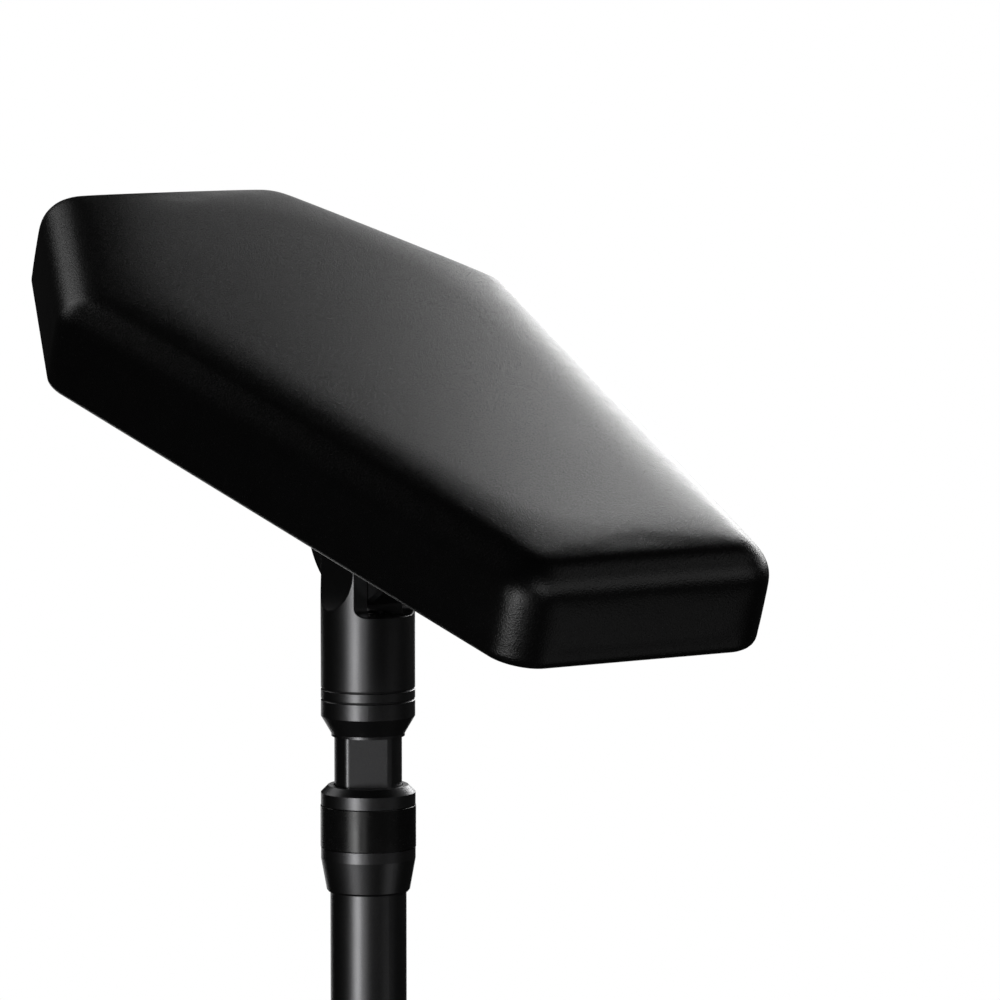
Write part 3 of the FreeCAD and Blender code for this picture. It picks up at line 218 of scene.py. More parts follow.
# Each light's turn about the column in degrees, from the camera's side and positive to its right, then
# the height of its middle, its distance, width, height and brightness, and the height on the column's
# axis that it faces
LIGHTS = {
    "front_strip": (-30, 0.35, 1.2, 0.2, 0.7, 5.5, 0.35),
    "front_strip_left": (-40, 0.35, 1.2, 0.2, 0.7, 1.35, 0.35),
    "front_strip_right": (-10, 0.35, 1.2, 0.2, 0.7, 0.82, 0.35),
    "low_front_left": (-40, 0.15, 1.3, 0.4, 0.3, 2.7, 0.35),
    "low_front_right": (-20, 0.15, 1.3, 0.4, 0.3, 0.5, 0.35),
    "right_box": (20, 0.95, 1.3, 0.4, 0.4, 2.2, 0.7),
    "right_panel": (57, 0.95, 1.3, 0.95, 0.4, 0.75, 0.7),
    "high_right_box": (60, 1.3, 1.3, 0.4, 0.4, 0.2, 0.7),
    "high_side_box": (80, 1.7, 1.3, 0.4, 0.4, 0.66, 0.7),
    "low_right_box": (60, 0.12, 0.75, 0.4, 0.4, 0.25, 0.7),
    "side_back_box": (120, 0.95, 1.3, 0.4, 0.4, 1.0, 0.7),
    "right_back_box": (140, 0.95, 1.3, 0.4, 0.4, 4.5, 0.7),
    "back_box": (160, 0.95, 1.3, 0.4, 0.4, 4.7, 0.7),
    "high_back_box": (160, 1.2, 1.3, 0.4, 0.4, 2.6, 0.7),
    "top_back_box": (160, 1.5, 1.3, 0.4, 0.4, 1.4, 0.7),
    "far_back_box": (205, 2.1, 2.2, 0.8, 0.8, 0.12, 0.7),
    "near_back_box": (170, 0.8, 0.5, 0.35, 0.35, 0.57, 0.7),
    "middle_back_box": (170, 0.6, 1.3, 0.4, 0.4, 1.0, 0.7),
    "low_back_panel": (188, 0.2, 1.3, 1.1, 0.4, 0.8, 0.35),
    "left_back_box": (-140, 1.65, 1.3, 0.4, 0.7, 1.2, 0.7),
    "left_box": (-120, 1.55, 1.3, 0.4, 0.5, 0.9, 0.7),
}


# Modelling helpers

@contextmanager
def reshaped(mesh):
    """A mesh as a shape to work on, written back at the end."""
    shape = bmesh.new()
    shape.from_mesh(mesh)
    yield shape
    shape.to_mesh(mesh)
    shape.free()


def extruded(shape, faces, rise):
    """Pulls faces along Z and returns the moved faces."""
    parts = bmesh.ops.extrude_face_region(shape, geom=faces)["geom"]
    verts = [part for part in parts if isinstance(part, bmesh.types.BMVert)]
    bmesh.ops.translate(shape, verts=verts, vec=(0, 0, rise))
    return [part for part in parts if isinstance(part, bmesh.types.BMFace)]


def rounded(shape, geometry, reach, segments, affect="EDGES"):
    bmesh.ops.bevel(
        shape, geom=geometry, offset=reach, offset_type="OFFSET", segments=segments, profile=0.5,
        affect=affect, clamp_overlap=True, material=-1)


def edges_at(shape, height):
    """Edges that lie level at a height."""
    return [
        edge for edge in shape.edges if all(abs(vert.co.z - height) < SAME for vert in edge.verts)
    ]


def mesh_of(shape, name):
    """A shape as a mesh, with its normals outwards."""
    bmesh.ops.recalc_face_normals(shape, faces=shape.faces)
    mesh = bpy.data.meshes.new(name)
    shape.to_mesh(mesh)
    shape.free()
    return mesh


def repeated(mesh, places):
    """One shape that holds a mesh at each of several places."""
    shape = bmesh.new()
    for place in places:
        count = len(shape.verts)
        shape.from_mesh(mesh)
        shape.verts.ensure_lookup_table()
        bmesh.ops.transform(shape, matrix=place, verts=shape.verts[count:])
    bpy.data.meshes.remove(mesh)
    return shape


def linked(name, data):
    """A new object in the scene."""
    made = bpy.data.objects.new(name, data)
    bpy.context.scene.collection.objects.link(made)
    return made


def new_piece(mesh, body, slot, replaced=(), sharp=SHARP_ANGLE):
    """A mesh as a piece that rides on a body, in place of any CAD nodes named."""
    mesh.materials.append(material_named(slot))
    mesh.shade_smooth()
    mesh.set_sharp_from_angle(angle=sharp)
    piece = linked(mesh.name, mesh)
    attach(piece, body)
    if replaced:
        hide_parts(*replaced)
    return piece


def baked_mesh(piece, name):
    """The mesh of an object with its modifiers applied."""
    graph = bpy.context.evaluated_depsgraph_get()
    mesh = bpy.data.meshes.new_from_object(piece.evaluated_get(graph))
    mesh.name = name
    return mesh


def material_named(slot):
    """A slot's material, made once."""
    made = bpy.data.materials.get(FINISH_PREFIX + slot)
    if made:
        return made
    scene = bpy.context.scene
    return FINISHES[slot](Shader(FINISH_PREFIX + slot), scene.arm_rest_finish, scene.arm_rest_pad)


# Shader nodes

FINISH_PREFIX = "finish_"


class Wire:
    """A node's output. Sums and products of wires and numbers add Math nodes."""

    def __init__(self, shader, socket):
        self.shader = shader
        self.socket = socket

    def maths(self, operation, first, second):
        return self.shader.node("Math", {"operation": operation}, {0: first, 1: second})

    def __add__(self, other):
        return self.maths("ADD", self, other)

    def __sub__(self, other):
        return self.maths("SUBTRACT", self, other)

    def __rsub__(self, other):
        return self.maths("SUBTRACT", other, self)

    def __mul__(self, other):
        return self.maths("MULTIPLY", self, other)


class Nodes:
    """The node tree of a material or world in the making."""

    def __init__(self, owner):
        owner.use_nodes = True
        self.tree = owner.node_tree
        self.tree.nodes.clear()

    def node(self, kind, settings=None, sockets=None, output=0):
        """Adds a node: its settings first, then the values or wires of its sockets."""
        node = self.tree.nodes.new("ShaderNode" + kind)
        for name, value in (settings or {}).items():
            setattr(node, name, value)
        for name, value in (sockets or {}).items():
            self.feed(node.inputs[name], value)
        return Wire(self, node.outputs[output]) if node.outputs else None

    def feed(self, socket, value):
        if isinstance(value, Wire):
            self.tree.links.new(value.socket, socket)
        else:
            socket.default_value = value


class Shader(Nodes):
    """A material in the making, with one Principled surface."""

    def __init__(self, name):
        self.material = bpy.data.materials.new(name)
        super().__init__(self.material)
        self.surface = self.tree.nodes.new("ShaderNodeBsdfPrincipled")
        self.node("OutputMaterial", {}, {"Surface": Wire(self, self.surface.outputs["BSDF"])})
        self.place = self.node("TexCoord", output="Object")

    def finish(self, **sockets):
        """Feeds the surface; a socket's name is written with underscores. Returns the material."""
        for name, value in sockets.items():
            self.feed(self.surface.inputs[name.replace("_", " ")], value)
        return self.material

    def noise(self, size, detail=2.0, place=None):
        """Noise from 0 to 1 whose blots are about a size across."""
        sockets = {"Vector": place or self.place, "Scale": 1 / size, "Detail": detail}
        return self.node("TexNoise", {"normalize": True}, sockets)

    def cells(self, size, feature="F1", smoothness=0.0):
        """Distance inside cells about a size across."""
        sockets = {"Vector": self.place, "Scale": 1 / size}
        if feature == "SMOOTH_F1":
            sockets["Smoothness"] = smoothness
        return self.node("TexVoronoi", {"feature": feature}, sockets, output="Distance")

    def stretched(self, value, low, high, to_low=0.0, to_high=1.0):
        """A value's range spread over another one."""
        sockets = {"Value": value, "From Min": low, "From Max": high, "To Min": to_low, "To Max": to_high}
        return self.node("MapRange", {"clamp": True}, sockets)

    def mixed(self, share, first, second):
        """Two colours mixed by a share of the second."""
        sockets = {"Factor": share, 6: colour(first), 7: colour(second)}
        return self.node("Mix", {"data_type": "RGBA"}, sockets, output=2)

    def toned(self, pattern, low, high, base, dark, light):
        """A colour that goes from one shade of itself to another as a pattern goes from low to high."""
        return self.mixed(self.stretched(pattern, low, high), scaled(base, dark), scaled(base, light))

    def bump(self, height, depth):
        return self.node("Bump", {}, {"Height": height, "Distance": depth, "Strength": 1.0})


def colour(value):
    """Three numbers as a socket's four; a wire stays as it is."""
    return value if isinstance(value, Wire) else (*value[:3], 1.0)


def scaled(value, share):
    return tuple(channel * share for channel in value)


# Finishes, one for each slot of the record

# Sizes of the patterns and depths of the grain, in metres
ANODISED_DRIFT = 0.02
POWDER_GRAINS = 0.0009
POWDER_WAVES = 0.006
POWDER_DEPTH = 0.00009
MACHINING = 0.0006
FINE_MACHINING = 0.0003
MACHINING_DEPTH = 0.00001
METAL_DRIFT = 0.012
SMEARS = 0.008
PLY_DEPTH = 0.00005
FIBRES = 0.0008
LINER_DOTS = 0.0022
LINER_DEPTH = 0.00015
# How the plies' noise is drawn out along, across and through the board
PLY_STRETCH = (6, 60, 600)
# Creases, pores and drift of the leather, as shares of a pebble's size
CREASE_SHARE = 1.6
PORE_SHARE = 0.5
DRIFT_SHARE = 24


def leatherette(shader, finish, pad):
    """Fine pebbled grain with creases between the pebbles, and a soft sheen; the creases are painted darker as
    shade and the pebble tops lighter as light.
    """
    pebbles = shader.cells(pad.grain, "SMOOTH_F1", 0.35)
    creases = shader.cells(pad.grain * CREASE_SHARE)
    pores = shader.noise(pad.grain * PORE_SHARE, 3.0)
    drift = shader.noise(pad.grain * DRIFT_SHARE)
    height = 1 - pebbles * 1.1 + pores * 0.6 - creases * 0.2
    # Painted light and shade: the creases between the pebbles are painted darker and the pebble tops lighter; the
    # same share also makes the creases rougher
    shaded_valley = shader.stretched(pebbles, 0.3, 0.75)
    tone = shader.mixed(shaded_valley, scaled(pad.colour, 1.15), scaled(pad.colour, 0.7))
    tone = shader.mixed(shader.stretched(drift, 0.35, 0.7, 0.0, 0.5), tone, scaled(pad.colour, 1.5))
    rough = shader.stretched(pores, 0.2, 0.8, 0.24, 0.3) + shaded_valley * 0.05
    return shader.finish(
        Base_Color=tone, Roughness=rough, IOR=1.42, Normal=shader.bump(height, pad.grain_depth))


def anodised(shader, finish, pad):
    """Satin black anodised aluminium: a fine light speckle over a blasted surface."""
    speckle = shader.noise(finish.speckle)
    drift = shader.noise(ANODISED_DRIFT)
    tone = shader.toned(speckle, 0.45, 0.75, finish.anodised, 1, 1.5)
    rough = shader.stretched(speckle, 0.3, 0.7, 0.27, 0.37) + drift * 0.04
    return shader.finish(
        Base_Color=tone, Metallic=1.0, Roughness=rough, Normal=shader.bump(speckle, finish.speckle * 0.04))


def powder_coat(shader, finish, pad):
    """Fine-textured powder coat, with the slight waves of sprayed powder."""
    grains = shader.noise(POWDER_GRAINS)
    waves = shader.noise(POWDER_WAVES, 1.0)
    tone = shader.toned(grains, 0.4, 0.7, finish.powder, 1, 1.5)
    rough = shader.stretched(grains, 0.3, 0.7, 0.42, 0.56)
    height = grains * 0.8 + waves * 0.6
    return shader.finish(Base_Color=tone, Roughness=rough, Normal=shader.bump(height, POWDER_DEPTH))


def metal(tone_name, rough_low, rough_high, size=MACHINING):
    """A finish of bare or plated metal with a fine machined surface."""
    def made(shader, finish, pad):
        base = getattr(finish, tone_name)
        marks = shader.noise(size, 3.0)
        drift = shader.noise(METAL_DRIFT)
        tone = shader.toned(drift, 0.3, 0.7, base, 0.88, 1.06)
        rough = shader.stretched(marks, 0.3, 0.7, rough_low, rough_high)
        return shader.finish(
            Base_Color=tone, Metallic=1.0, Roughness=rough, Normal=shader.bump(marks, MACHINING_DEPTH))
    return made


def moulding(tone_name, size, depth, rough_low, rough_high):
    """A finish of moulded plastic, rubber or foam with an eroded grain."""
    def made(shader, finish, pad):
        base = getattr(finish, tone_name)
        grain = shader.cells(size)
        fine = shader.noise(size / 2)
        height = grain * 0.7 + fine * 0.5
        tone = shader.toned(fine, 0.3, 0.7, base, 0.85, 1.25)
        rough = shader.stretched(height, 0.2, 0.9, rough_low, rough_high)
        return shader.finish(Base_Color=tone, Roughness=rough, Normal=shader.bump(height, depth))
    return made


def grip_band(shader, finish, pad):
    """Smooth black band with a soft shine and faint handling marks."""
    smears = shader.noise(SMEARS, 4.0)
    rough = shader.stretched(smears, 0.35, 0.75, 0.24, 0.31)
    tone = shader.mixed(smears, finish.band, scaled(finish.band, 1.4))
    return shader.finish(Base_Color=tone, Roughness=rough, IOR=1.5)


def plywood(shader, finish, pad):
    """Birch plies across the board's thickness, with a faint grain."""
    sockets = {"Vector": shader.place, "Rotation": (0, -pad.tilt, 0), "Scale": PLY_STRETCH}
    grain = shader.noise(1.0, 3.0, shader.node("Mapping", {}, sockets))
    tone = shader.toned(grain, 0.35, 0.65, finish.plywood, 0.7, 1)
    return shader.finish(Base_Color=tone, Roughness=0.7, Normal=shader.bump(grain, PLY_DEPTH))


def liner_cloth(shader, finish, pad):
    """Non-woven cloth: matted fibres with small embossed dots."""
    fibres = shader.noise(FIBRES, 5.0)
    pressed = shader.stretched(shader.cells(LINER_DOTS), 0.18, 0.3)
    tone = shader.toned(fibres, 0.3, 0.7, pad.liner_colour, 0.7, 1.6)
    height = fibres * 0.6 + pressed * 0.5
    return shader.finish(Base_Color=tone, Roughness=0.9, Normal=shader.bump(height, LINER_DEPTH))


FINISHES = {
    "leatherette_black": leatherette,
    "satin_black": anodised,
    "powder_black": powder_coat,
    "black_steel": metal("steel", 0.28, 0.42),
    "zinc_steel": metal("zinc", 0.22, 0.36),
    "plain_aluminium": metal("aluminium", 0.25, 0.38),
    "band_black": grip_band,
    "nylon_black": moulding("nylon", 0.0004, 0.00002, 0.4, 0.52),
    "knob_black": moulding("plastic", 0.0006, 0.00006, 0.45, 0.62),
    "rubber_black": moulding("rubber", 0.0008, 0.00008, 0.68, 0.85),
    "brass": metal("brass", 0.2, 0.32),
    "bronze": metal("bronze", 0.38, 0.5, FINE_MACHINING),
    "plywood": plywood,
    "liner_black": liner_cloth,
    "foam_grey": moulding("foam", 0.0012, 0.0003, 0.85, 0.95),
}


# The pad's outline

def tilted(pad):
    """Takes a point given level about the tilt axis to its place on the tilted pad."""
    return Matrix.Translation(PIVOT) @ Matrix.Rotation(pad.tilt, 4, "Y")


def coffin_corners(pad):
    """The six corners of the pad's outline, anticlockwise from the head's near corner."""
    head, foot = -pad.length / 2, pad.length / 2
    shoulder = head + pad.shoulder
    near = [(head, -pad.head_width / 2), (shoulder, -pad.shoulder_width / 2), (foot, -pad.foot_width / 2)]
    far = [(x, -y) for x, y in reversed(near)]
    return [Vector((x, y, 0)) for x, y in near + far]


def coffin_face(pad, inset, radius, segments):
    """A shape with one level face: the pad's outline drawn in by an inset, its corners rounded."""
    shape = bmesh.new()
    face = shape.faces.new([shape.verts.new(corner) for corner in coffin_corners(pad)])
    shape.normal_update()
    if inset:
        rim = bmesh.ops.inset_region(
            shape, faces=[face], use_boundary=True, use_even_offset=True, thickness=inset)["faces"]
        bmesh.ops.delete(shape, geom=rim, context="FACES")
    for corner in list(shape.verts):
        before, after = (edge.other_vert(corner).co - corner.co for edge in corner.link_edges)
        rounded(shape, [corner], radius / math.tan(before.angle(after) / 2), segments, "VERTICES")
    return shape


def outline_points(pad, inset, radius, segments):
    """Points round the pad's outline at an inset, anticlockwise seen from above."""
    shape = coffin_face(pad, inset, radius, segments)
    face = shape.faces[:][0]
    points = [vert.co.copy() for vert in face.verts]
    if face.normal.z < 0:
        points.reverse()
    shape.free()
    return points


def sides_of(points):
    """Each point with the next one, all the way round."""
    return zip(points, points[1:] + points[:1])


def walls(points):
    """A spot on each side of a closed line, with the level direction out of that side."""
    return [(start, (end - start).cross(UP).normalized()) for start, end in sides_of(points)]


def out_share(sides, spot):
    """How far out a spot lies: 0 at the centre, about 1 on the rim, smooth across corners."""
    power = 8
    total = sum(max(0, outward.dot(spot) / outward.dot(start)) ** power for start, outward in sides)
    return total ** (1 / power)


def rim_distance(sides, spot):
    """How far in from the rim a spot lies, smooth across corners."""
    power = 2.5
    total = sum(max(SAME, outward.dot(start - spot)) ** -power for start, outward in sides)
    return total ** (-1 / power)


# The cushion

CUSHION_BEVEL_SEGMENTS = 20
CUSHION_CORNER_SEGMENTS = 20
HEM_SEGMENTS = 6
CORNER_SEGMENTS = 8
OPENING_SEGMENTS = 3
SWELL_FRAMES = 20
SMOOTH_SHARE = 0.5
# The underside's points lie lower than the first, its faces' middles lower than the second, and its
# faces' normals point down by more than the third
UNDERSIDE_POINTS = 1e-4
UNDERSIDE_FACES = 1e-3
FACING_DOWN = -0.9


def cushion_block(pad, inset):
    """The pad's outline, drawn in by an inset, raised to a block with a rounded top edge and hem."""
    shape = coffin_face(pad, inset, pad.corner_radius - inset, CUSHION_CORNER_SEGMENTS)
    height = pad.thickness - pad.crown - inset
    extruded(shape, list(shape.faces), height)
    rounded(shape, edges_at(shape, height), pad.edge_radius - inset, CUSHION_BEVEL_SEGMENTS)
    rounded(shape, edges_at(shape, 0), pad.hem_radius, HEM_SEGMENTS)
    return mesh_of(shape, "cushion_block")


def applied(scratch, name):
    """Turns a scratch object's modifiers into its mesh."""
    scratch.data = baked_mesh(scratch, name)
    scratch.modifiers.clear()


def gridded(mesh, pad):
    """The block with an even grid of faces, on a scratch object."""
    scratch = linked(mesh.name, mesh)
    remesh = scratch.modifiers.new("grid", "REMESH")
    remesh.mode = "VOXEL"
    remesh.voxel_size = pad.voxel
    applied(scratch, "cushion_grid")
    return scratch


def laid_on(scratch, block, group=""):
    """Moves a scratch object's points onto a block, as far as a group of weights lets them."""
    under = linked(block.name, block)
    wrap = scratch.modifiers.new("wrap", "SHRINKWRAP")
    wrap.target = under
    wrap.vertex_group = group
    applied(scratch, "cushion_laid")
    bpy.data.objects.remove(under)


def crowned(mesh, pad):
    """Raises the top to its crown, rolls it down to the rim and swells the sides to their belly."""
    sides = walls(coffin_corners(pad))
    with reshaped(mesh) as shape:
        shape.normal_update()
        height = max(vert.co.z for vert in shape.verts)
        for vert in shape.verts:
            spot = Vector((vert.co.x, vert.co.y, 0))
            share = min(1, out_share(sides, spot))
            roll = max(0, 1 - rim_distance(sides, spot) / pad.roll_width)
            level = min(1, max(0, vert.co.z / height))
            flat = Vector((vert.normal.x, vert.normal.y, 0))
            vert.co += flat * pad.belly * 4 * level * (1 - level)
            vert.co.z += (pad.crown * (1 - share ** 3) - pad.roll * roll * roll) * level


def swollen(scratch, pad):
    """Lets pressure push the cover out from the board, no further than the swell."""
    mesh = scratch.data
    start = [(vert.co.copy(), vert.normal.copy()) for vert in mesh.vertices]
    held = [vert.index for vert in mesh.vertices if vert.co.z < pad.hem_radius]
    board = scratch.vertex_groups.new(name="board")
    board.add(held, 1.0, "REPLACE")
    cloth = scratch.modifiers.new("swell", "CLOTH")
    cloth.settings.vertex_group_mass = board.name
    cloth.settings.use_pressure = True
    cloth.settings.uniform_pressure_force = pad.pressure
    cloth.settings.effector_weights.gravity = 0
    cloth.point_cache.frame_start = 1
    cloth.point_cache.frame_end = SWELL_FRAMES
    for step in range(1, SWELL_FRAMES + 1):
        bpy.context.scene.frame_set(step)
    swelled = baked_mesh(scratch, "cushion_swollen")
    scratch.modifiers.clear()
    bpy.context.scene.frame_set(1)
    for vert, (before, outward) in zip(swelled.vertices, start):
        push = (vert.co - before).dot(outward)
        vert.co = before + outward * min(pad.swell, max(0, push))
    scratch.data = swelled


def relaxed(mesh, rounds):
    """Evens out the grid's ripples. The underside stays level."""
    with reshaped(mesh) as shape:
        under = [vert for vert in shape.verts if vert.co.z < UNDERSIDE_POINTS]
        loose = [vert for vert in shape.verts if vert.co.z >= UNDERSIDE_POINTS]
        for _ in range(rounds):
            for verts, upright in ((under, False), (loose, True)):
                bmesh.ops.smooth_vert(
                    shape, verts=verts, factor=SMOOTH_SHARE, use_axis_x=True, use_axis_y=True,
                    use_axis_z=upright)


def underneath(face):
    """Whether a face is one of the level underside's."""
    return face.normal.z < FACING_DOWN and face.calc_center_median().z < UNDERSIDE_FACES


def opened(mesh, pad):
    """Presses the underside in inside the hem, where the liner lies."""
    sides = walls(outline_points(pad, pad.hem_width, pad.hem_corner_radius, OPENING_SEGMENTS))
    with reshaped(mesh) as shape:
        for spot, outward in sides:
            faces = [face for face in shape.faces if underneath(face)]
            edges = {edge for face in faces for edge in face.edges}
            verts = {vert for face in faces for vert in face.verts}
            bmesh.ops.bisect_plane(
                shape, geom=[*faces, *edges, *verts], dist=SAME, plane_co=spot, plane_no=outward)
        inside = [
            face for face in shape.faces
            if underneath(face)
            and all(outward.dot(face.calc_center_median() - spot) < 0 for spot, outward in sides)
        ]
        extruded(shape, inside, pad.cover_thickness)


def drawn_under(scratch, pad):
    """Pulls the cover tight round the board's edge, more and more towards the hem."""
    tight = scratch.vertex_groups.new(name="tight")
    free_height = pad.hem_radius + pad.hem_blend
    for vert in scratch.data.vertices:
        share = min(1, max(0, (free_height - vert.co.z) / pad.hem_blend))
        tight.add([vert.index], share * share * (3 - 2 * share), "REPLACE")
    laid_on(scratch, cushion_block(pad, pad.belly), tight.name)


def turned_in(shape, inwards, down):
    """Draws a fold down and inwards from the open rim, which goes round the Z axis."""
    bmesh.ops.extrude_edge_only(shape, edges=[edge for edge in shape.edges if edge.is_boundary])
    moves = {}
    for vert in {vert for edge in shape.edges if edge.is_boundary for vert in edge.verts}:
        before, after = (edge.other_vert(vert).co for edge in vert.link_edges if edge.is_boundary)
        outward = (after - before).cross(UP).normalized()
        if outward.dot(vert.co) < 0:
            outward.negate()
        moves[vert] = -UP * down - outward * inwards
    for vert, move in moves.items():
        vert.co += move


def hemmed(mesh, pad):
    """Trims the cover level above the board's edge and turns it under in an even curve."""
    with reshaped(mesh) as shape:
        geometry = [*shape.verts, *shape.edges, *shape.faces]
        bmesh.ops.bisect_plane(
            shape, geom=geometry, dist=SAME, plane_co=(0, 0, pad.hem_radius), plane_no=-UP,
            clear_outer=True)
        rim = {vert for edge in shape.edges if edge.is_boundary for vert in edge.verts}
        bmesh.ops.remove_doubles(shape, verts=list(rim), dist=pad.hem_radius / 10)
        step = QUARTER_TURN / HEM_SEGMENTS
        for index in range(HEM_SEGMENTS):
            start, end = step * index, step * (index + 1)
            inwards = pad.hem_radius * (math.cos(start) - math.cos(end))
            turned_in(shape, inwards, pad.hem_radius * (math.sin(end) - math.sin(start)))
        bmesh.ops.contextual_create(shape, geom=[edge for edge in shape.edges if edge.is_boundary])
        bmesh.ops.recalc_face_normals(shape, faces=shape.faces)


def make_cushion(pad):
    """Foam and leatherette as one closed cushion."""
    start = pad.swell
    scratch = gridded(cushion_block(pad, start), pad)
    relaxed(scratch.data, 4)
    laid_on(scratch, cushion_block(pad, start))
    crowned(scratch.data, pad)
    swollen(scratch, pad)
    relaxed(scratch.data, 2)
    finer = scratch.modifiers.new("finer", "SUBSURF")
    finer.levels = 1
    finer.render_levels = 1
    applied(scratch, "cushion_finer")
    drawn_under(scratch, pad)
    mesh = scratch.data
    mesh.name = "pad_cushion"
    bpy.data.objects.remove(scratch)
    hemmed(mesh, pad)
    opened(mesh, pad)
    mesh.transform(tilted(pad) @ Matrix.Translation((0, 0, pad.drop)))
    mesh.materials.clear()
    cushion = new_piece(mesh, "pad", "leatherette_black", ("pad_cover", "pad_foam"), sharp=HALF_TURN)


# The pad's underside

LINER_GRID = 90
# Where the liner's waves start, as a share of the way out, and how close they lie, per metre
WAVES_START = 0.45
WAVES = ((410, 130), (-90, 370))
# A staple's rounding as a share of its thickness, and the turn of the row of staples at a corner as a
# share of the pad's corner radius
STAPLE_ROUNDING = 0.35
STAPLE_ROW_TURN = 0.6
# How far a corner's pleats fan out, as a share of the corner's own turn
PLEAT_FAN_SHARE = 0.3
PLEAT_SIDES = 16
# A pleat's rounding as a share of its height, and its width at the rim as a share of its inner width
PLEAT_ROUNDING = 0.4
PLEAT_TIP = 0.24


def make_liner(pad):
    """Non-woven cloth stretched over the board inside the hem, with small waves at its edge."""
    inset = pad.hem_width + pad.hem_gap
    points = outline_points(pad, inset, pad.hem_corner_radius, OPENING_SEGMENTS)
    reach = max(max(abs(point.x), abs(point.y)) for point in points)
    shape = bmesh.new()
    bmesh.ops.create_grid(shape, x_segments=LINER_GRID, y_segments=LINER_GRID, size=reach)
    for start, outward in walls(points):
        geometry = [*shape.verts, *shape.edges, *shape.faces]
        bmesh.ops.bisect_plane(
            shape, geom=geometry, dist=SAME, plane_co=start, plane_no=outward, clear_outer=True)
    area = sum(face.calc_area() for face in shape.faces)
    sides = walls(coffin_corners(pad))
    for vert in shape.verts:
        share = out_share(sides, vert.co)
        wave = math.prod(math.sin(vert.co.x * along + vert.co.y * across) for along, across in WAVES)
        vert.co.z = -pad.pucker * max(0, share - WAVES_START) * (1 + wave)
    bmesh.ops.recalc_face_normals(shape, faces=shape.faces)
    if shape.faces[:][0].normal.z > 0:
        bmesh.ops.reverse_faces(shape, faces=shape.faces)
    bmesh.ops.solidify(shape, geom=list(shape.faces), thickness=pad.liner_thickness)
    bmesh.ops.recalc_face_normals(shape, faces=shape.faces)
    rise = pad.drop + pad.cover_thickness - pad.liner_thickness
    mesh = mesh_of(shape, "liner_cloth")
    mesh.transform(tilted(pad) @ Matrix.Translation((0, 0, rise)))
    liner = new_piece(mesh, "pad", "liner_black", ("underside_liner",))


def hem_place(pad, spot, turn):
    """A place on the pad's underside, turned about the pad's upright axis."""
    under = Matrix.Translation((spot.x, spot.y, pad.drop))
    return tilted(pad) @ under @ Matrix.Rotation(turn, 4, "Z")


def steps_along(points, spacing):
    """Evenly spaced spots round a closed line, each with the line's direction there."""
    whole = sum((end - start).length for start, end in sides_of(points))
    count = round(whole / spacing)
    step = whole / count
    wanted = step / 2
    walked = 0
    for start, end in sides_of(points):
        run = end - start
        while wanted < walked + run.length:
            yield start + run.normalized() * (wanted - walked), run.normalized()
            wanted += step
        walked += run.length


def make_staples(pad, staple):
    """Wire staples round the hem, each bedded in the leatherette by half its thickness."""
    shape = bmesh.new()
    bmesh.ops.create_cube(shape, size=1.0)
    size = (staple.crown, staple.wire_width, staple.wire_thickness)
    bmesh.ops.scale(shape, vec=size, verts=shape.verts)
    rounded(shape, list(shape.edges), staple.wire_thickness * STAPLE_ROUNDING, 2)
    mesh = mesh_of(shape, "staple")
    points = outline_points(pad, staple.inset, pad.corner_radius * STAPLE_ROW_TURN, CORNER_SEGMENTS)
    places = [
        hem_place(pad, spot, math.atan2(along.y, along.x))
        for spot, along in steps_along(points, staple.spacing)
    ]
    new_piece(mesh_of(repeated(mesh, places), "hem_staples"), "pad", "zinc_steel")


def make_pleats(pad, staple):
    """Folds of leatherette at each corner of the hem: nothing at the rim, widest at their inner ends."""
    shape = bmesh.new()
    bmesh.ops.create_cone(
        shape, cap_ends=True, segments=PLEAT_SIDES, radius1=PLEAT_TIP / 2, radius2=0.5, depth=1.0)
    bmesh.ops.rotate(shape, verts=shape.verts, matrix=Matrix.Rotation(QUARTER_TURN, 3, "Y"))
    bmesh.ops.translate(shape, verts=shape.verts, vec=(0.5, 0, 0))
    bmesh.ops.scale(
        shape, vec=(staple.pleat_length, staple.pleat_width, staple.pleat_height * 2), verts=shape.verts)
    rounded(shape, list(shape.edges), staple.pleat_height * PLEAT_ROUNDING, 3)
    mesh = mesh_of(shape, "pleat")
    places = []
    corners = coffin_corners(pad)
    for index, corner in enumerate(corners):
        back = (corners[index - 1] - corner).normalized()
        ahead = (corners[(index + 1) % len(corners)] - corner).normalized()
        half_angle = back.angle(ahead) / 2
        inward = (back + ahead).normalized()
        centre = corner + inward * (pad.corner_radius / math.sin(half_angle))
        spread = HALF_TURN - 2 * half_angle
        middle = math.atan2(-inward.y, -inward.x)
        rim = pad.corner_radius - pad.hem_radius * 2
        for pleat in range(staple.pleats):
            turn = spread * ((pleat + 0.5) / staple.pleats - 0.5)
            outward = Vector((math.cos(middle + turn), math.sin(middle + turn), 0))
            heading = middle + turn * PLEAT_FAN_SHARE + HALF_TURN
            places.append(hem_place(pad, centre + outward * rim, heading))
    new_piece(mesh_of(repeated(mesh, places), "hem_pleats"), "pad", "leatherette_black")


# Screws

SCREW_SIDES = 48
HEX_SECTOR = FULL_TURN / 6
HUB_FLANGE = 0.007
PLATE_THICKNESS = 0.005
WASHER_THICKNESS = 0.0012
PLATE_SCREW_LENGTH = 0.017
TILT_BOLT_SHANK = 0.004
HUB_SCREWS = 6
PLATE_SCREWS = 4
# Radius of a shank as a share of its head's
CAP_SHANK_SHARE = 0.6
PLATE_SHANK_SHARE = 0.55


def hexagon_reach(angle, across_flats):
    """From a hexagon's centre to its rim, in a direction."""
    return across_flats / 2 / math.cos(angle % HEX_SECTOR - HEX_SECTOR / 2)


